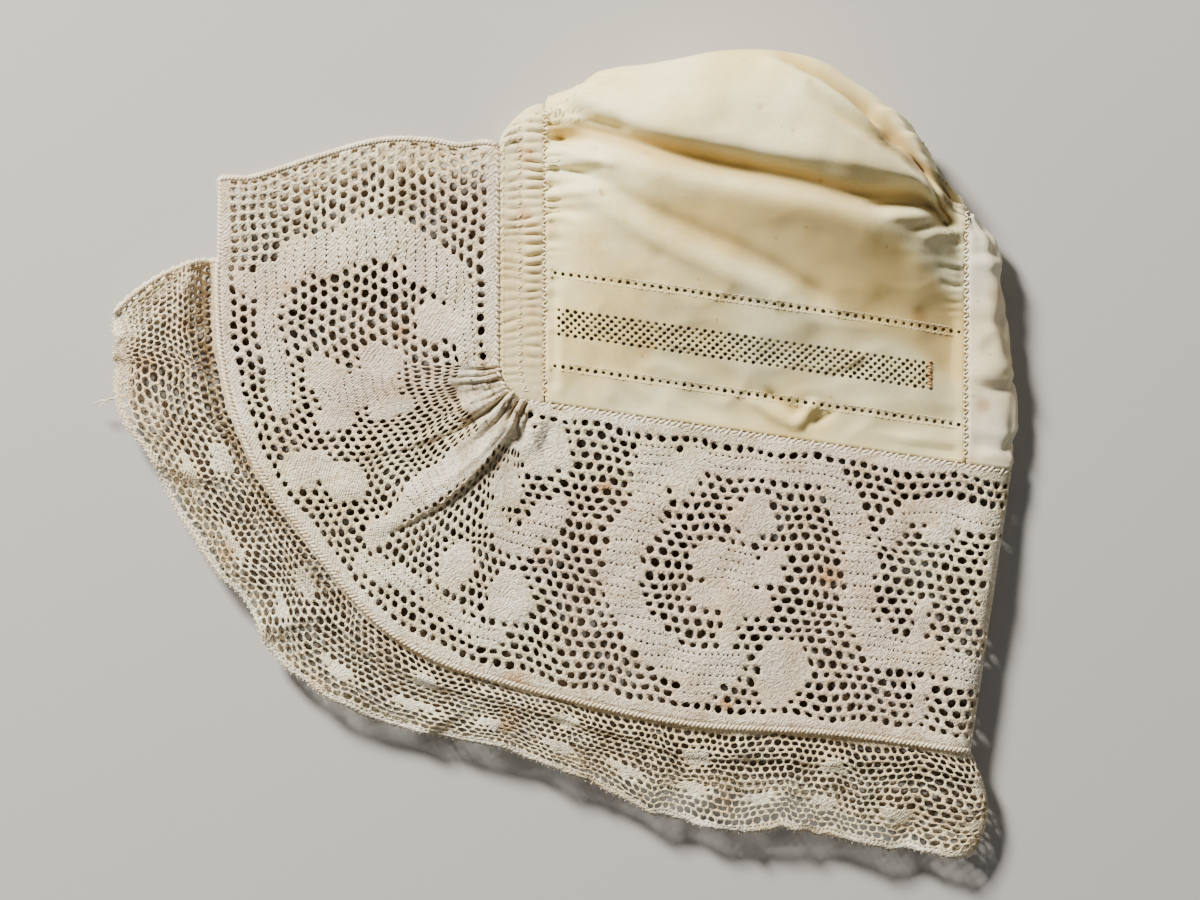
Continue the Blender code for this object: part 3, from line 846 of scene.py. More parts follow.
# %% Where a point of the edging lies
UPPER_REACH = [
    (0.00, 0.98), (0.07, 1.01), (0.20, 0.94), (0.26, 0.98), (0.38, 0.84), (0.47, 0.68),
    (0.56, 0.62), (0.61, 0.69), (0.69, 0.92), (0.733, 0.83), (0.767, 0.885), (0.817, 0.87),
    (0.833, 0.91), (0.85, 1.08), (0.867, 1.05), (0.883, 1.00), (1.00, 0.97),
]
LOWER_REACH = [
    (0.00, 0.97), (0.07, 0.85), (0.20, 0.62), (0.26, 0.60), (0.38, 0.64), (0.47, 0.60),
    (0.56, 0.60), (0.61, 0.66), (0.69, 0.87), (0.76, 0.80), (0.82, 0.80), (0.86, 0.96),
    (1.00, 0.90),
]
EDGING_FOLDS = [
    # length along the seam and share where it starts, the same at its end, height and width
    (64, 0.55, 52, 1.05, 1.8, 1.6),
    (101, 0.50, 91.5, 1.05, 1.6, 1.6),
    (30, 0.60, 22, 1.05, 1.0, 1.8),
    (122, 0.35, 128, 1.05, 1.2, 2.0),
    (146, 0.30, 150, 1.05, 1.4, 2.0),
    (167, 0.25, 172, 0.90, 1.2, 2.0),
    (184, 0.55, 187, 1.05, 0.4, 3.4),
]


def ridge_line(along):
    """The share of the edging's width where its ridge runs."""
    return 0.27 + 0.25 * rough(along, 0, 30 * MM, 12.0)


def edging_painted_shade(along, share):
    """Painted shade in the hollow between the seam and the ridge, stronger from the corner on."""
    left = smooth((along - FRONT_LENGTH) / (40 * MM))
    ends_at = 0.85 * ridge_line(along)
    return (0.45 + 0.55 * left) * smooth(share / 0.03) * smooth((ends_at - share) / 0.05 + 0.5)


def edging_relief(along, share):
    """A hollow beside the seam, a ridge along the strip, folds and ruffles."""
    height = -LACE_DROOP - EDGING_DROOP * share - 0.8 * MM * smooth((share - 0.3) / 0.7)
    left = smooth((along - FRONT_LENGTH) / (40 * MM))
    height -= (0.9 + 1.8 * left) * MM * hill((share - 0.09) / 0.08) * smooth(share / 0.03)
    line = ridge_line(along)
    wide = 0.12 if share < line else 0.05
    height += (0.9 + 1.6 * left) * MM * hill((share - line) / wide)
    for start, first, end, last, rise, width in EDGING_FOLDS:
        place = (share - first) / (last - first)
        if 0 < place:
            off = along / MM - mix(start, end, place)
            side = hill(off / (width if off > 0 else 0.5 * width))
            height += rise * MM * side * smooth(place / 0.5)
    ruffle = math.sin(2 * math.pi * along / (19 * MM)) + 1.5 * rough(along, 0, 9 * MM, 2.0)
    height += 0.7 * MM * ruffle * smooth((share - 0.25) / 0.75)
    height += 0.8 * MM * rough(along, share * EDGING_WIDTH, 6 * MM, 7.0) * smooth(share / 0.2)
    return height


def edging_point(layer, along, share, rise=0.0):
    reaches = UPPER_REACH if layer == UPPER else LOWER_REACH
    reach = EDGING_WIDTH * table(reaches, along / EDGING_LENGTH)
    reach *= 1 + 0.05 * rough(along, 0, 8 * MM, 13.0) + 0.025 * rough(along, 0, 3 * MM, 15.0)
    slant = 1 - EDGING_END_SLANT / EDGING_NECK_LENGTH * share * share
    out = lace_width(along) + 0.3 * MM + reach * share
    plan = strip_plan(along, out, slant)
    flare = EDGING_FLARE * math.sin(0.8 * math.pi * share)
    plan += ALONG * flare * hill(along / (12 * MM))
    z = strip_height(layer, along, LACE_BEND, LACE_LIFT + edging_relief(along, share))
    return PLAN_ORIGIN + Vector((*plan, max(z + layer * rise, THREAD / 2)))


def edging_texture(u, v):
    """A dense heading, net with small motifs, and a dense footing."""
    if v < 0.9 or v > 26.0:
        return "cloth", 0.0
    if v > 24.8:
        return "pin", 0.0
    if u > 220:
        return "net", 9.0
    x = (u + 7) % 17 - 8.5
    leaf = (math.hypot((x + 0.5 * (v - 18)) / 3.6, (v - 18) / 1.3) - 1) * 1.3
    x = (u + 15.5) % 34 - 17
    oval = (math.hypot(x / 3.0, (v - 8.5) / 2.4) - 1) * 2.4
    near = min(leaf, oval)
    if near < 0:
        return ("cloth", 0.0) if leaf < oval else ("pin", 0.0)
    return "net", near


print("edging reaches out by", EDGING_WIDTH / MM, "mm")

# %% The lace edging
EDGING_HALF_FLAT = FRONT_LENGTH + FLAT_FAN + EDGING_NECK_LENGTH + BEND_LENGTH - LACE_BEND
EDGING_HOLE = (0.85 * MM, 0.73 * MM, 0.09 * MM)
EDGING_PINHOLE = (0.24 * MM, 0.22 * MM, 0.17 * MM)
edging, edging_area = {}, {}
for layer, name in ((UPPER, "upper"), (LOWER, "lower")):
    bm, holes, pinholes = make_lace(
        spread(0, EDGING_HALF_FLAT, 0.98 * MM), spread(0, EDGING_WIDTH, 0.83 * MM),
        edging_texture, EDGING_HOLE, EDGING_PINHOLE, layer == LOWER,
    )
    edging_area[layer] = sum(face.calc_area() for face in bm.faces)
    neck = EDGING_NECK_LENGTH
    lay_strip(bm, layer, edging_point, edging_painted_shade, EDGING_WIDTH, neck, neck)
    inside = shaded_inner_thread if layer == LOWER else None
    edging[layer] = add_piece(f"lace_edging_{name}", bm, edging_thread, EDGING_THREAD, inside)
    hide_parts("lace_edging")
    print(name, "holes:", holes, "pinholes:", pinholes, "triangles:", triangles(edging[layer]))

# %% [markdown]
# ## The crown
#
# The crown is one piece of cloth for both sides of the head, gathered at the neck and at the
# back of the top band. It stands up in a soft puff with a deep fold across it. Along its front
# run rows of drawn-thread work: threads are pulled out of the cloth and the rest are bound into
# small round holes. The grid's rows follow the front seam, so a row of cells is a row of holes.

# %% Sections of the crown
CROWN_REACH = [
    (0.00, 0.775), (0.12, 0.860), (0.28, 0.920), (0.55, 0.995), (0.72, 0.955), (0.87, 0.835),
    (1.00, 0.665),
]
CROWN_HEIGHTS = [
    (0.00, 0.13), (0.12, 0.50), (0.28, 0.84), (0.55, 1.00), (0.72, 0.91), (0.87, 0.56),
    (1.00, 0.12),
]


class Section:
    """A section across the fold at the back, from the upper layer round to the lower one.

    Each layer is flat up to its share in flat, and from there it turns to the fold's edge.
    """

    def __init__(self, front, depth, puff, turn=0.0):
        self.front, self.depth, self.puff = front, depth, puff
        top = LACE_LIFT + puff
        ground = CAD_WALL / 2
        self.edge = ground + 0.44 * (top - ground)
        upper = 1.05 * (top - self.edge)
        lower = 0.9 * (self.edge - ground)
        self.flat = {
            UPPER: 1 - mix(upper, BAND_END_ROOM, turn) / depth,
            LOWER: 1 - mix(lower, BAND_END_ROOM, turn) / depth,
        }

    def turned(self, layer, share):
        return min(1.0, max(0.0, (share - self.flat[layer]) / (1 - self.flat[layer])))

    def y(self, share):
        return self.front + self.depth * share

    def z(self, layer, share, relief=0.0):
        level = quarter(self.turned(layer, share))
        if layer == LOWER:
            return self.edge + (GROUND - self.edge) * level
        high = LACE_LIFT + self.puff * smooth(share / 0.66) + relief
        return self.edge + (high - self.edge) * level


def crown_section(across):
    front = -across * CROWN_WIDTH * math.tan(FRONT_SLOPE)
    depth = CROWN_DEPTH * table(CROWN_REACH, across)
    return Section(
        front, depth, CROWN_PUFF * table(CROWN_HEIGHTS, across), smooth((across - 0.72) / 0.28)
    )


print("the crown's middle section is", round(crown_section(0.5).depth / MM), "mm deep")

# %% [markdown]
# The deep fold runs in an arc from the gathers at the neck to the gathers at the top: a bright
# ridge, a hollow behind it and a second ridge that hangs over the hollow. Another fold comes
# down from the back. Each line is read off the real thing: how far across the crown, and at
# which share of the crown's depth. Short creases are given by their two ends in plan.

# %% Folds of the crown
FOLDS = [
    # height in mm, width to the front and to the back as shares of the depth, line
    (-4.6, 0.046, 0.030, [(-0.03, 0.96), (0.07, 0.865), (0.23, 0.77), (0.43, 0.70), (0.59, 0.67),
                          (0.75, 0.69), (0.905, 0.83), (1.00, 0.92)]),
    (1.8, 0.022, 0.060, [(-0.03, 0.98), (0.13, 0.88), (0.27, 0.81), (0.43, 0.75), (0.59, 0.73),
                         (0.78, 0.79), (0.905, 0.89), (1.00, 0.96)]),
    (1.5, 0.070, 0.035, [(-0.03, 0.85), (0.03, 0.82), (0.19, 0.755), (0.34, 0.685), (0.51, 0.63),
                         (0.67, 0.635), (0.83, 0.71), (0.95, 0.84), (1.00, 0.88)]),
    (-2.7, 0.13, 0.15, [(0.12, 0.70), (0.34, 0.57), (0.59, 0.49), (0.83, 0.46), (1.20, 0.42)]),
    (-1.6, 0.05, 0.025, [(0.00, 0.76), (0.25, 0.586), (0.51, 0.45), (0.70, 0.38)]),
    (1.4, 0.03, 0.06, [(0.00, 0.70), (0.22, 0.53), (0.46, 0.40), (0.66, 0.33)]),
    (-4.0, 0.020, 0.024, [(0.52, 0.985), (0.63, 0.965), (0.78, 0.955), (0.84, 0.945), (0.98, 0.90)]),
    (2.2, 0.022, 0.022, [(0.50, 0.97), (0.57, 0.955), (0.67, 0.915), (0.78, 0.89), (1.00, 0.90)]),
    (-2.2, 0.018, 0.018, [(0.60, 0.90), (0.72, 0.865), (0.84, 0.87), (1.00, 0.92)]),
]
CREASES = [
    # plan of its two ends, height and width, in millimetres from the plan's origin
    (50.8, 1.0, 61.8, -6.2, 1.5, 1.3), (61.8, -6.2, 67.5, 0.3, 1.3, 1.2),
    (55.0, 3.0, 63.8, -3.0, -1.2, 1.2), (66.5, -5.0, 72.0, -2.0, -0.9, 1.0),
    (83.8, -8.3, 103.0, -10.8, 0.6, 1.1), (84.0, -9.6, 103.0, -12.2, -0.4, 1.0),
    (2.8, 33.0, 2.0, 2.0, -0.7, 0.9), (4.8, 30.0, 4.2, 4.0, 0.4, 1.1),
    (7.5, 8.0, 11.8, 1.0, -0.6, 0.9), (16.3, 8.0, 26.3, 1.0, 0.5, 1.4),
    (33.8, 2.6, 43.8, -2.4, -0.5, 1.4), (28.0, 8.0, 40.0, 6.0, 0.5, 2.0),
    (76.0, 13.0, 89.0, 2.0, 0.6, 2.4), (70.0, 7.0, 80.0, 9.0, -0.5, 1.8),
    (6.0, 47.0, 22.0, 30.0, 0.6, 2.2), (12.0, 52.0, 30.0, 34.0, -0.7, 2.6),
    (92.0, 24.0, 101.0, 8.0, -0.5, 2.4), (96.0, 40.0, 103.0, 30.0, 0.6, 1.6),
    (80.0, 48.5, 101.0, 49.0, -1.6, 0.9), (84.0, 45.5, 102.0, 47.0, 1.0, 1.1),
    (90.0, 42.5, 102.0, 45.0, -1.2, 0.9), (93.0, 40.0, 102.5, 43.0, 1.0, 1.0),
    (97.0, 34.0, 102.5, 33.0, -0.6, 0.8), (98.0, 30.0, 102.5, 28.5, -0.5, 0.8),
    (62.0, 83.0, 81.0, 73.0, -2.6, 1.7), (75.0, 77.0, 87.0, 63.5, -3.4, 1.7),
    (83.0, 68.0, 94.0, 56.5, -3.4, 1.5), (90.0, 61.0, 102.0, 49.5, -2.4, 1.2),
    (65.0, 85.5, 84.0, 76.0, 1.2, 1.6), (78.0, 79.5, 90.0, 66.0, 1.6, 1.5),
    (86.5, 70.0, 97.0, 58.5, 1.6, 1.3), (88.0, 72.5, 99.0, 59.0, -2.2, 1.1),
    (1.5, 77.0, 18.0, 71.5, 1.5, 1.2), (1.5, 73.6, 20.0, 67.5, -2.2, 1.0),
    (1.5, 70.0, 15.0, 64.5, 1.6, 1.0), (1.5, 66.5, 14.0, 61.0, -1.9, 1.0),
    (2.0, 62.8, 18.0, 58.0, 1.3, 1.1), (2.0, 59.5, 12.0, 55.5, -1.3, 1.0),
    (2.0, 55.0, 10.0, 51.0, 0.8, 1.0), (2.0, 50.0, 9.0, 46.0, -0.8, 0.9),
]
# the front edge of the crown's broad painted shade
PAINTED_SHADE_EDGE = [(0.00, 0.76), (0.25, 0.586), (0.51, 0.45), (0.70, 0.37), (1.00, 0.34)]
WHORL = (101.5, 48.5)


def creased(x, y, creases):
    """Height in millimetres of straight creases at a place in millimetres."""
    height = 0.0
    for ax, ay, bx, by, rise, width in creases:
        share = ((x - ax) * (bx - ax) + (y - ay) * (by - ay)) / ((bx - ax) ** 2 + (by - ay) ** 2)
        share = min(1.0, max(0.0, share))
        off = math.hypot(x - mix(ax, bx, share), y - mix(ay, by, share))
        if off < 3 * width:
            height += rise * hill(off / width) * min(1.0, 0.35 + 2 * math.sin(math.pi * share))
    return height


def crown_gathers(x, y, bend):
    """Pleats in millimetres that run in from both gathered ends, also round the back."""
    place, back = y + 7 * bend, smooth(bend / 0.9)
    whorl = 0.25 + 0.75 * max(back, hill((y - 45) / 10))
    ends = hill(x / (12 + 9 * back))
    ends += (0.7 + 0.4 * back) * whorl * hill((CROWN_WIDTH / MM - x) / (10 + 8 * back))
    ends *= 1 + 0.9 * back
    wave = math.sin(2 * math.pi * place / 3.7 + 3 * rough(x, place, 16, 50.0))
    broad = math.sin(2 * math.pi * place / 8.3 + 2 * rough(x, place, 22, 51.0))
    return ends * (0.55 * wave + 0.65 * broad) + 1.1 * back * rough(x, place, 17, 52.0)


def crown_relief(across, share, depth):
    """Height of the upper layer's folds in metres, and how much painted shade a place takes."""
    height = 0.0
    for rise, front, back, line in FOLDS:
        if line[0][0] <= across <= line[-1][0]:
            off = share - table(line, across)
            run_out = max(0.05, front + back)
            ends = smooth((across - line[0][0]) / run_out)
            ends *= smooth((line[-1][0] - across) / run_out)
            height += rise * hill(off / (front if off < 0 else back)) * ends
    # painted shade: a broad tone between the ridge and this line, and more deep in the folds
    below = smooth((table(PAINTED_SHADE_EDGE, across) + 0.02 - share) / 0.08)
    tone = smooth(across / 0.4) * smooth((0.68 - share) / 0.10) * (1 - below)
    hollow = max(smooth((-height - 0.2) / 4.0), 0.95 * tone)
    x = across * CROWN_WIDTH / MM
    y = (share * depth - across * CROWN_WIDTH * math.tan(FRONT_SLOPE)) / MM
    crease = creased(x, y, CREASES)
    height += crease
    # painted shade along the creases as well
    hollow = max(hollow, smooth(-crease / 1.8) * smooth(across / 0.5))
    far = math.hypot(x - WHORL[0], y - WHORL[1])
    angle = math.atan2(y - WHORL[1], x - WHORL[0])
    ribs = math.sin(13 * angle + 4 * rough(x, y, 9, 41.0)) + 0.5 * math.sin(23 * angle + 1)
    height += 0.5 * ribs * hill(far / 8) * smooth(far / 3.0)
    height -= 1.2 * hill(far / 3.0)
    fringe = hill(x / 4) * (0.25 + 0.75 * smooth((share - 0.45) / 0.25))
    height += 1.0 * fringe * math.sin(2 * math.pi * y / (2.6 + 0.8 * rough(0, y, 12, 42.0)))
    height += 0.5 * hill((CROWN_WIDTH / MM - x) / 3) * math.sin(2 * math.pi * y / 2.1)
    height += 1.3 * rough(x, y, 24, 3.0) + 0.35 * rough(x, y, 7, 6.0)
    pressed = 0.1 + 0.3 * smooth((0.42 - share) / 0.08)
    height += pressed * max(0.0, 1 - 3.2 * abs(rough(x, 1.6 * y, 15, 43.0))) ** 2
    fade = smooth(share / 0.05) * smooth((1 - share) / 0.05)
    sides = smooth(across / 0.012) * smooth((1 - across) / 0.035)
    return height * MM * fade * sides, hollow


print("folds in the crown:", len(FOLDS), "and creases:", len(CREASES))

# %% [markdown]
# The rows of the grid are close together and even near the front seam, where the drawn-thread
# work is, and wider towards the back. Both layers get the same rows, because the work runs on
# over the top band to the other side.

# %% The crown cloth
CELL = 1.0 * MM
EVEN_ROWS = 36
DRAWN_ROWS = (9, 32)
DRAWN_BAND = range(17, 24)
DRAWN_HOLE = (0.53 * MM, 0.52 * MM, 0.05 * MM)
# the middle of a cell's edge is pushed out this much, so that the hole comes out round
BULGE = 1.16


def crown_path(section):
    """Steps (layer, share) from the upper front seam to the lower one, and each row's number."""
    path, numbers = {}, {}
    for layer, count, turns in ((UPPER, 56, 18), (LOWER, 24, 10)):
        flat = section.flat[layer] * section.depth
        even = min(EVEN_ROWS * CELL, 0.7 * flat) / EVEN_ROWS
        places = [HALF_GAP] + [k * even for k in range(1, EVEN_ROWS)]
        places += [mix(EVEN_ROWS * even, flat, k / count) for k in range(count)]
        for k in range(turns + 1):
            places.append(mix(flat, section.depth, math.sin(math.pi / 2 * k / turns)))
        path[layer] = [(layer, place / section.depth) for place in places]
        numbers[layer] = list(range(len(places)))
    back = slice(-2, None, -1)
    return path[UPPER] + path[LOWER][back], numbers[UPPER] + numbers[LOWER][back]


def crown_point(across, layer, share):
    """The place of a point of the crown, and how much painted shade it takes."""
    section = crown_section(across)
    side = 0.1 * BAND_END_HALF * smooth((across - 0.72) / 0.28)
    turned = section.turned(layer, share)
    relief, hollow = crown_relief(across, share, section.depth) if layer == UPPER else (0, 0)
    bend = math.asin(turned) if layer == UPPER else math.pi - math.asin(turned)
    x, y = across * CROWN_WIDTH, section.y(share)
    sewn = smooth(across / 0.012) * smooth((1 - across) / 0.012)
    reach = smooth((share - 0.5) / 0.2) if layer == UPPER else smooth(turned / 0.5)
    relief += crown_gathers(x / MM, y / MM, bend) * reach * sewn * MM
    z = section.z(layer, share, relief)
    return PLAN_ORIGIN + Vector((x + side * turned, y + relief * turned, z)), hollow


columns = 2 * round(CROWN_WIDTH / CELL / 2)
inset = HALF_GAP / CROWN_WIDTH
acrosses = [mix(inset, 1 - inset, k / columns) for k in range(columns + 1)]
middle_path, numbers = crown_path(crown_section(0.5))
paths = [crown_path(crown_section(across))[0] for across in acrosses]
bm, points = flat_grid(list(range(columns + 1)), list(range(len(middle_path))))
dense = bm.verts.layers.float["dense"]
keep_flat(bm, CELL, CELL)
drawn = []
for face in bm.faces:
    middle = face.calc_center_median()
    i, j = int(middle.x), int(middle.y)
    row = min(numbers[j], numbers[j + 1])
    in_row = row in DRAWN_ROWS and i % 2 == 0 and 1 < i < columns - 1
    in_band = row in DRAWN_BAND and (i + row) % 2 == 0 and 2 < i < columns - 8
    if in_row or in_band:
        drawn.append(face)
for (i, j), vert in points.items():
    # the attribute dense holds the crown's painted fold shade
    vert.co, vert[dense] = crown_point(acrosses[i], *paths[i][j])
drawn_cells = set(drawn)
for edge in [edge for edge in bm.edges if drawn_cells.intersection(edge.link_faces)]:
    middle = bmesh.utils.edge_split(edge, edge.verts[0], 0.5)[1]
    near = [face for face in middle.link_faces if face in drawn_cells]
    if len(near) == 1:
        middle.co = near[0].calc_center_median().lerp(middle.co, BULGE)
open_holes(bm, drawn, *DRAWN_HOLE)
crown_area = sum(face.calc_area() for face in bm.faces)
crown_cloth = add_piece("crown_cloth", bm, cotton, CLOTH)
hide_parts("crown")
print("drawn-thread holes:", len(drawn), "triangles:", triangles(crown_cloth))

# %% [markdown]
# ## The top band and the neck casing
#
# The band is a plain strip of the same cloth over the top of the head. It holds the bonnet's
# fold, and has a few creases where it was pressed. The casing is a narrow channel along the neck
# for a drawstring. It is drawn up into many small pleats, which puff between its stitch lines.

# %% The top band cloth
BAND_REACH = [
    (0.00, 0.98), (0.22, 1.06), (0.46, 0.95), (0.72, 0.76), (0.89, 0.58), (1.00, 0.16),
]
BAND_CREASES = [
    # place along the band, height in mm, width as a share of its length
    (0.10, -0.5, 0.018), (0.16, 0.5, 0.020), (0.34, -0.6, 0.016), (0.38, 0.4, 0.020),
    (0.60, -0.4, 0.020), (0.83, 0.5, 0.018), (0.88, -0.4, 0.016), (0.94, 0.4, 0.016),
]


def band_point(along, turn):
    section = crown_section(1.0)
    layer = UPPER if turn <= 0.5 else LOWER
    angle = math.pi * turn
    share = section.flat[layer] * along
    half = BAND_HALF * table(BAND_REACH, along)
    x = CROWN_WIDTH + HALF_GAP + (half - HALF_GAP) * math.sin(angle)
    front = HALF_GAP - x * math.tan(FRONT_SLOPE)
    back = section.y(section.flat[UPPER]) - 2 * HALF_GAP
    back += (BAND_END_ROOM - CAD_WALL) * math.sin(angle)
    z = mix(section.edge, section.z(layer, share), abs(math.cos(angle)))
    relief = sum(rise * hill((along + 0.03 * math.sin(2 * angle) - place) / width)
                 for place, rise, width in BAND_CREASES)
    relief += 1.2 * rough(along, turn, 0.16, 8.0)
    relief += 0.7 * max(0.0, 1 - 3.2 * abs(rough(along, 0.3 * turn, 0.22, 18.0))) ** 2
    relief *= MM * smooth(turn / 0.12) * smooth((1 - turn) / 0.25) * smooth(along / 0.04)
    push = Vector((math.sin(angle), 0, math.cos(angle))) * relief
    return PLAN_ORIGIN + Vector((x, mix(front, back, along), z)) + push


around, length = 28, 64
bm, points = flat_grid(list(range(around + 1)), list(range(length + 1)))
keep_flat(bm, MM, MM)
for (i, j), vert in points.items():
    vert.co = band_point(j / length, i / around)
band_cloth = add_piece("band_cloth", bm, lit_band_cotton, CLOTH)
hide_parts("top_band")
print("band triangles:", triangles(band_cloth))

# %% [markdown]
# The casing's pleats are not a plain wave: cloth that is drawn up stands in narrow ridges with
# sharp valleys between them, and no two are alike. They flatten at the stitch line in the
# middle of the casing and at both its seams.

# %% The casing cloth
CASING_STEPS = 14
PLEAT = 2.3 * MM


def casing_edge(y):
    """The outer edge of the casing: straight, then round the corner to the front seam."""
    drop = min(CORNER_RADIUS, max(0.0, CORNER.y - y))
    return CORNER.x - CORNER_RADIUS * quarter(drop / CORNER_RADIUS)


def casing_section(across):
    inner = crown_section(0.0)
    back = inner.y(1) - CASING_END_SLANT * across * across
    return Section(CAD_WALL, back - CAD_WALL, inner.puff * (1 - smooth(across)))


def casing_path(section):
    path = {}
    for layer, count, turns in ((UPPER, 170, 16), (LOWER, 110, 10)):
        flat = section.flat[layer]
        path[layer] = [(layer, flat * k / count) for k in range(count)]
        for k in range(turns + 1):
            path[layer].append((layer, mix(flat, 1, math.sin(math.pi / 2 * k / turns))))
    return path[UPPER] + path[LOWER][-2::-1]


def casing_point(across, layer, share):
    section = casing_section(across)
    y = section.y(share) - (CAD_WALL - HALF_GAP) * (1 - smooth(share / 0.08))
    x = -HALF_GAP + (casing_edge(y) + 2 * HALF_GAP) * across
    place = y + 1.5 * MM * rough(x, y, 7 * MM, 9.0)
    ridge = abs(math.sin(math.pi * place / PLEAT)) ** 0.7 * 2 - 1.1
    uneven = 0.55 + 0.8 * rough(x, y, 6 * MM, 11.0)
    channels = abs(math.sin(2 * math.pi * across)) ** 0.6
    drawn_up = 0.35 + 0.65 * smooth((y - 26 * MM) / (12 * MM))
    drawn_up += 0.4 * smooth((y - 52 * MM) / (9 * MM))
    relief = 1.25 * MM * ridge * uneven * channels * drawn_up * smooth(share / 0.12)
    if layer == LOWER:
        relief = 0.0
    z = section.z(layer, share, relief)
    return PLAN_ORIGIN + Vector((x, y, z))


acrosses = [k / CASING_STEPS for k in range(CASING_STEPS + 1)]
paths = [casing_path(casing_section(across)) for across in acrosses]
rows = len(paths[0]) - 1
bm, points = flat_grid(list(range(CASING_STEPS + 1)), list(range(rows + 1)))
keep_flat(bm, MM, 0.5 * MM)
for (i, j), vert in points.items():
    vert.co = casing_point(acrosses[i], *paths[i][j])
casing_cloth = add_piece("casing_cloth", bm, shaded_casing_cotton, CLOTH)
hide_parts("neck_casing")
print("casing triangles:", triangles(casing_cloth))

# %% [markdown]
# ## Seams and stitches
#
# Every seam of the bonnet is sewn by hand, and the sewing shows. A stitch is a small egg of
# thread laid on the seam. Eggs that overlap and lean the same way make an overcast seam, which
# looks like a rope, and eggs that lean to either side in turn make a zigzag.

# %% Thread and stitches
def thread_material(name, light, deep):
    material, shader, shade = start_material(name, 0.85, 0.2)
    colour = clouds(shade, 3 * MM).between(0.3, 0.7).blend(light, deep)
    shade.tree.links.new(colour.socket, shader.inputs["Base Color"])
    bump(shade, shader, clouds(shade, 0.35 * MM, 2.0), 0.08 * MM)
    return material


def along_path(points, pitch):
    """Evenly spaced places on a line of points, with the line's direction at each."""
    left = pitch / 2
    for a, b in zip(points, points[1:]):
        step = (b - a).length
        while left <= step and step > 0:
            yield a.lerp(b, left / step), (b - a) / step
            left += pitch
        left -= step


def sew(bm, points, pitch, size, leans, lift=0.0):
    """Lays stitches along a line of points.

    Their pitch, their length, width and height, and their lift are in millimetres. They take
    the angles in leans by turns.
    """
    few, scratch = bmesh.new(), bpy.data.meshes.new("stitches")
    places = list(along_path(points, pitch * MM))
    for k, (place, run) in enumerate(places):
        place.z = max(place.z + lift * MM, 0.5 * size[2] * MM)
        lean = math.radians(leans[k % len(leans)] + 9 * math.sin(2.3 * k))
        turn = run.to_track_quat("X", "Z").to_matrix().to_4x4()
        scale = Matrix.Diagonal((*(0.5 * s * MM for s in size), 1))
        matrix = Matrix.Translation(place) @ turn @ Matrix.Rotation(lean, 4, "Z") @ scale
        bmesh.ops.create_uvsphere(few, u_segments=6, v_segments=4, radius=1, matrix=matrix)
        if k % 40 == 39 or k == len(places) - 1:
            # operators slow down as a mesh grows, so the stitches are added in small lots
            few.to_mesh(scratch)
            bm.from_mesh(scratch)
            few.clear()
    few.free()
    bpy.data.meshes.remove(scratch)


def steps(start, end, count):
    return [mix(start, end, k / count) for k in range(count + 1)]


cream_thread = thread_material("cream sewing thread", tint(252, 240, 206), tint(226, 200, 148))
lace_cord = thread_material("lace cord", tint(244, 232, 204), tint(220, 198, 160))
rust_thread = thread_material("rusty thread", tint(206, 150, 92), tint(170, 112, 60))
print("threads:", cream_thread.name, lace_cord.name, rust_thread.name)

# %% Seams of the lace
bm = bmesh.new()
for layer in (UPPER, LOWER):
    seam = [lace_point(layer, a, 0.004) for a in steps(0.5 * MM, LACE_LENGTH, 320)]
    sew(bm, seam, 1.5, (2.3, 0.8, 0.6), (34, 58, 24, 47), 0.36)
    outer = [edging_point(layer, a, 0.002) for a in steps(0.2 * MM, EDGING_LENGTH, 360)]
    sew(bm, outer, 1.05, (2.2, 1.0, 1.05), (42,), 0.3)
    bare = [lace_point(layer, a, 0.998) for a in steps(EDGING_LENGTH, LACE_LENGTH, 60)]
    sew(bm, bare, 1.05, (1.8, 0.9, 0.8), (42,), 0.2)
    border = [edging_point(layer, a, 1.0) for a in steps(0.2 * MM, EDGING_LENGTH, 420)]
    sew(bm, border, 1.7, (1.1, 0.65, 0.45), (90,))
    end = [lace_point(layer, LACE_LENGTH, s) for s in steps(0.01, 0.995, 80)]
    sew(bm, end, 0.95, (2.2, 1.3, 1.2), (36,), 0.25)
    end = [edging_point(layer, EDGING_LENGTH, s) for s in steps(0.0, 1.0, 50)]
    sew(bm, end, 0.9, (2.1, 1.15, 1.0), (50, 15, 80), 0.2)
lace_seams = add_piece("lace_seams", bm, lace_cord)
print("triangles:", triangles(lace_seams))

# %% [markdown]
# Here and there a thread has come loose. Each is a short curve with a round bevel.

# %% Loose threads
LOOSE_THREADS = {
    "loose_tip_thread": [(-110.6, 14.4, 5.6), (-113.2, 13.2, 5.4), (-115.6, 13.5, 4.8),
                         (-117.4, 12.4, 4.2)],
    "loose_tip_end": [(-110.8, 13.4, 5.4), (-112.6, 14.2, 5.8), (-114.6, 12.8, 4.8),
                      (-115.8, 11.6, 4.0)],
    "loose_corner_thread": [(-84.6, 69.6, 7.4), (-86.6, 68.4, 7.6), (-86.2, 65.0, 7.2),
                            (-84.6, 62.8, 7.2)],
}


def loose_thread(name, places, radius, material):
    curve = bpy.data.curves.new(name, "CURVE")
    curve.dimensions = "3D"
    curve.bevel_depth, curve.bevel_resolution, curve.resolution_u = radius, 2, 8
    curve.use_fill_caps = True
    spline = curve.splines.new("NURBS")
    spline.points.add(len(places) - 1)
    for point, place in zip(spline.points, places):
        point.co = (*(c * MM for c in place), 1)
    spline.order_u, spline.use_endpoint_u = 3, True
    curve.materials.append(material)
    thread = bpy.data.objects.new(name, curve)
    bpy.context.scene.collection.objects.link(thread)
    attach(thread, "root")


for name, places in LOOSE_THREADS.items():
    loose_thread(name, places, 0.16 * MM, lace_cord)
print("loose threads:", len(LOOSE_THREADS))

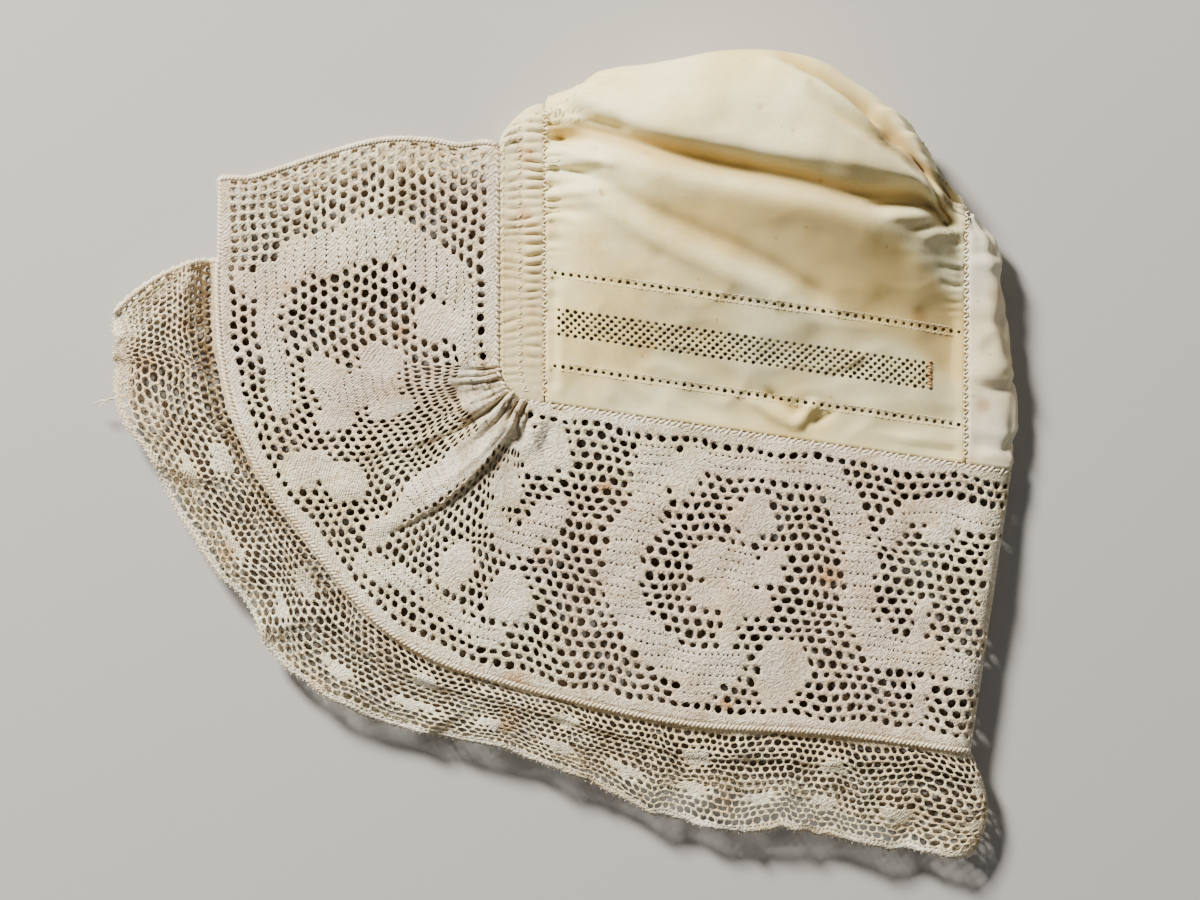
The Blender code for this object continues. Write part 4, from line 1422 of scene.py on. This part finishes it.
# %% Seams of the cotton
bm = bmesh.new()
for layer in (UPPER, LOWER):
    for across in (inset, 1 - inset):
        seam = [crown_point(across, layer, s)[0] for s in steps(0.02, 0.98, 150)]
        shift = Vector((0.15 * MM if across > 0.5 else -0.15 * MM, 0, 0))
        sew(bm, [p + shift for p in seam], 1.0, (1.7, 0.5, 0.4), (52, -52), 0.3)
middle = [casing_point(0.55, UPPER, s) for s in steps(0.03, 0.98, 200)]
sew(bm, middle, 0.85, (1.8, 0.32, 0.3), (58, -58), 0.25)
inner = [casing_point(0.92, UPPER, s) for s in steps(0.03, 0.98, 200)]
sew(bm, inner, 1.1, (0.9, 0.3, 0.3), (0,), 0.25)
for row in DRAWN_ROWS:
    for side, size in ((-0.95, 0.26), (0.95, 0.22)):
        line = []
        for across in steps(0.012, 0.988, 160):
            depth = crown_section(across).depth
            line.append(crown_point(across, UPPER, ((row + 0.5) * CELL + side * MM) / depth)[0])
        sew(bm, line, 0.85, (0.95, size, size), (24, -24), 0.24)
cotton_seams = add_piece("cotton_seams", bm, cream_thread)

bm = bmesh.new()
bar_line = []
for place in steps(17.3 * MM, 24.4 * MM, 20):
    across = 95.3 * MM / CROWN_WIDTH
    bar_line.append(crown_point(across, UPPER, place / crown_section(across).depth)[0])
sew(bm, bar_line, 0.8, (1.7, 0.5, 0.35), (90,), 0.2)
rust_bars = add_piece("rust_bars", bm, rust_thread)
print("triangles:", triangles(cotton_seams), triangles(rust_bars))

# %% [markdown]
# ## The stage
#
# The photograph is taken from straight above, with raking light from the upper left. A plain
# pale floor, one soft lamp low at the upper left and a wide soft fill give the same. The camera
# looks straight down, with the back of the head at the top of the picture.

# %% Floor, lights and camera
bm = bmesh.new()
bmesh.ops.create_grid(bm, x_segments=1, y_segments=1, size=3.0)
mesh = bpy.data.meshes.new("floor")
bm.to_mesh(mesh)
bm.free()
floor = bpy.data.objects.new("floor", mesh)
bpy.context.scene.collection.objects.link(floor)
floor_material, shader, shade = start_material("pale floor", 0.9, 0.0)
tone = clouds(shade, 0.6).blend(tint(176, 174, 170), tint(184, 182, 178))
shade.tree.links.new(tone.socket, shader.inputs["Base Color"])
mesh.materials.append(floor_material)
floor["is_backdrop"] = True


def soft_lamp(name, place, size, power, colour):
    data = bpy.data.lights.new(name, "AREA")
    data.size, data.energy, data.color = size, power, colour
    lamp = bpy.data.objects.new(name, data)
    lamp.location = place
    lamp.rotation_euler = (-Vector(place)).to_track_quat("-Z", "Y").to_euler()
    bpy.context.scene.collection.objects.link(lamp)


soft_lamp("raking lamp", (-0.72, 1.0, 0.78), 0.30, 72, (1.0, 0.965, 0.90))
soft_lamp("fill lamp", (0.9, -0.7, 1.4), 1.4, 2.6, (0.97, 0.98, 1.0))
world = bpy.data.worlds.new("studio")
world.use_nodes = True
world.node_tree.nodes["Background"].inputs[0].default_value = (1.0, 0.98, 0.95, 1)
world.node_tree.nodes["Background"].inputs[1].default_value = 0.10
bpy.context.scene.world = world

FRAME_CENTRE = PLAN_ORIGIN + Vector((13.75 * MM, -11.75 * MM, 0))
lens = bpy.data.cameras.new("overhead camera")
lens.lens, lens.sensor_width = 150, 36
camera = bpy.data.objects.new("overhead camera", lens)
camera.location = FRAME_CENTRE + Vector((0, 0, 0.300 * 150 / 36))
lens.clip_start, lens.clip_end = 0.1, 10
bpy.context.scene.collection.objects.link(camera)
bpy.context.scene.camera = camera
print("camera height:", round(camera.location.z, 3), "m")

for layer in (UPPER, LOWER):
    [lace_seams] if layer == UPPER else []

low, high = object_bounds()
size = {
    "cad": [list(cad_low), list(cad_high)],
    "dressed": [list(low), list(high)],
}
for name, corners in size.items():
    print(name, [[round(c / MM, 2) for c in corner] for corner in corners])
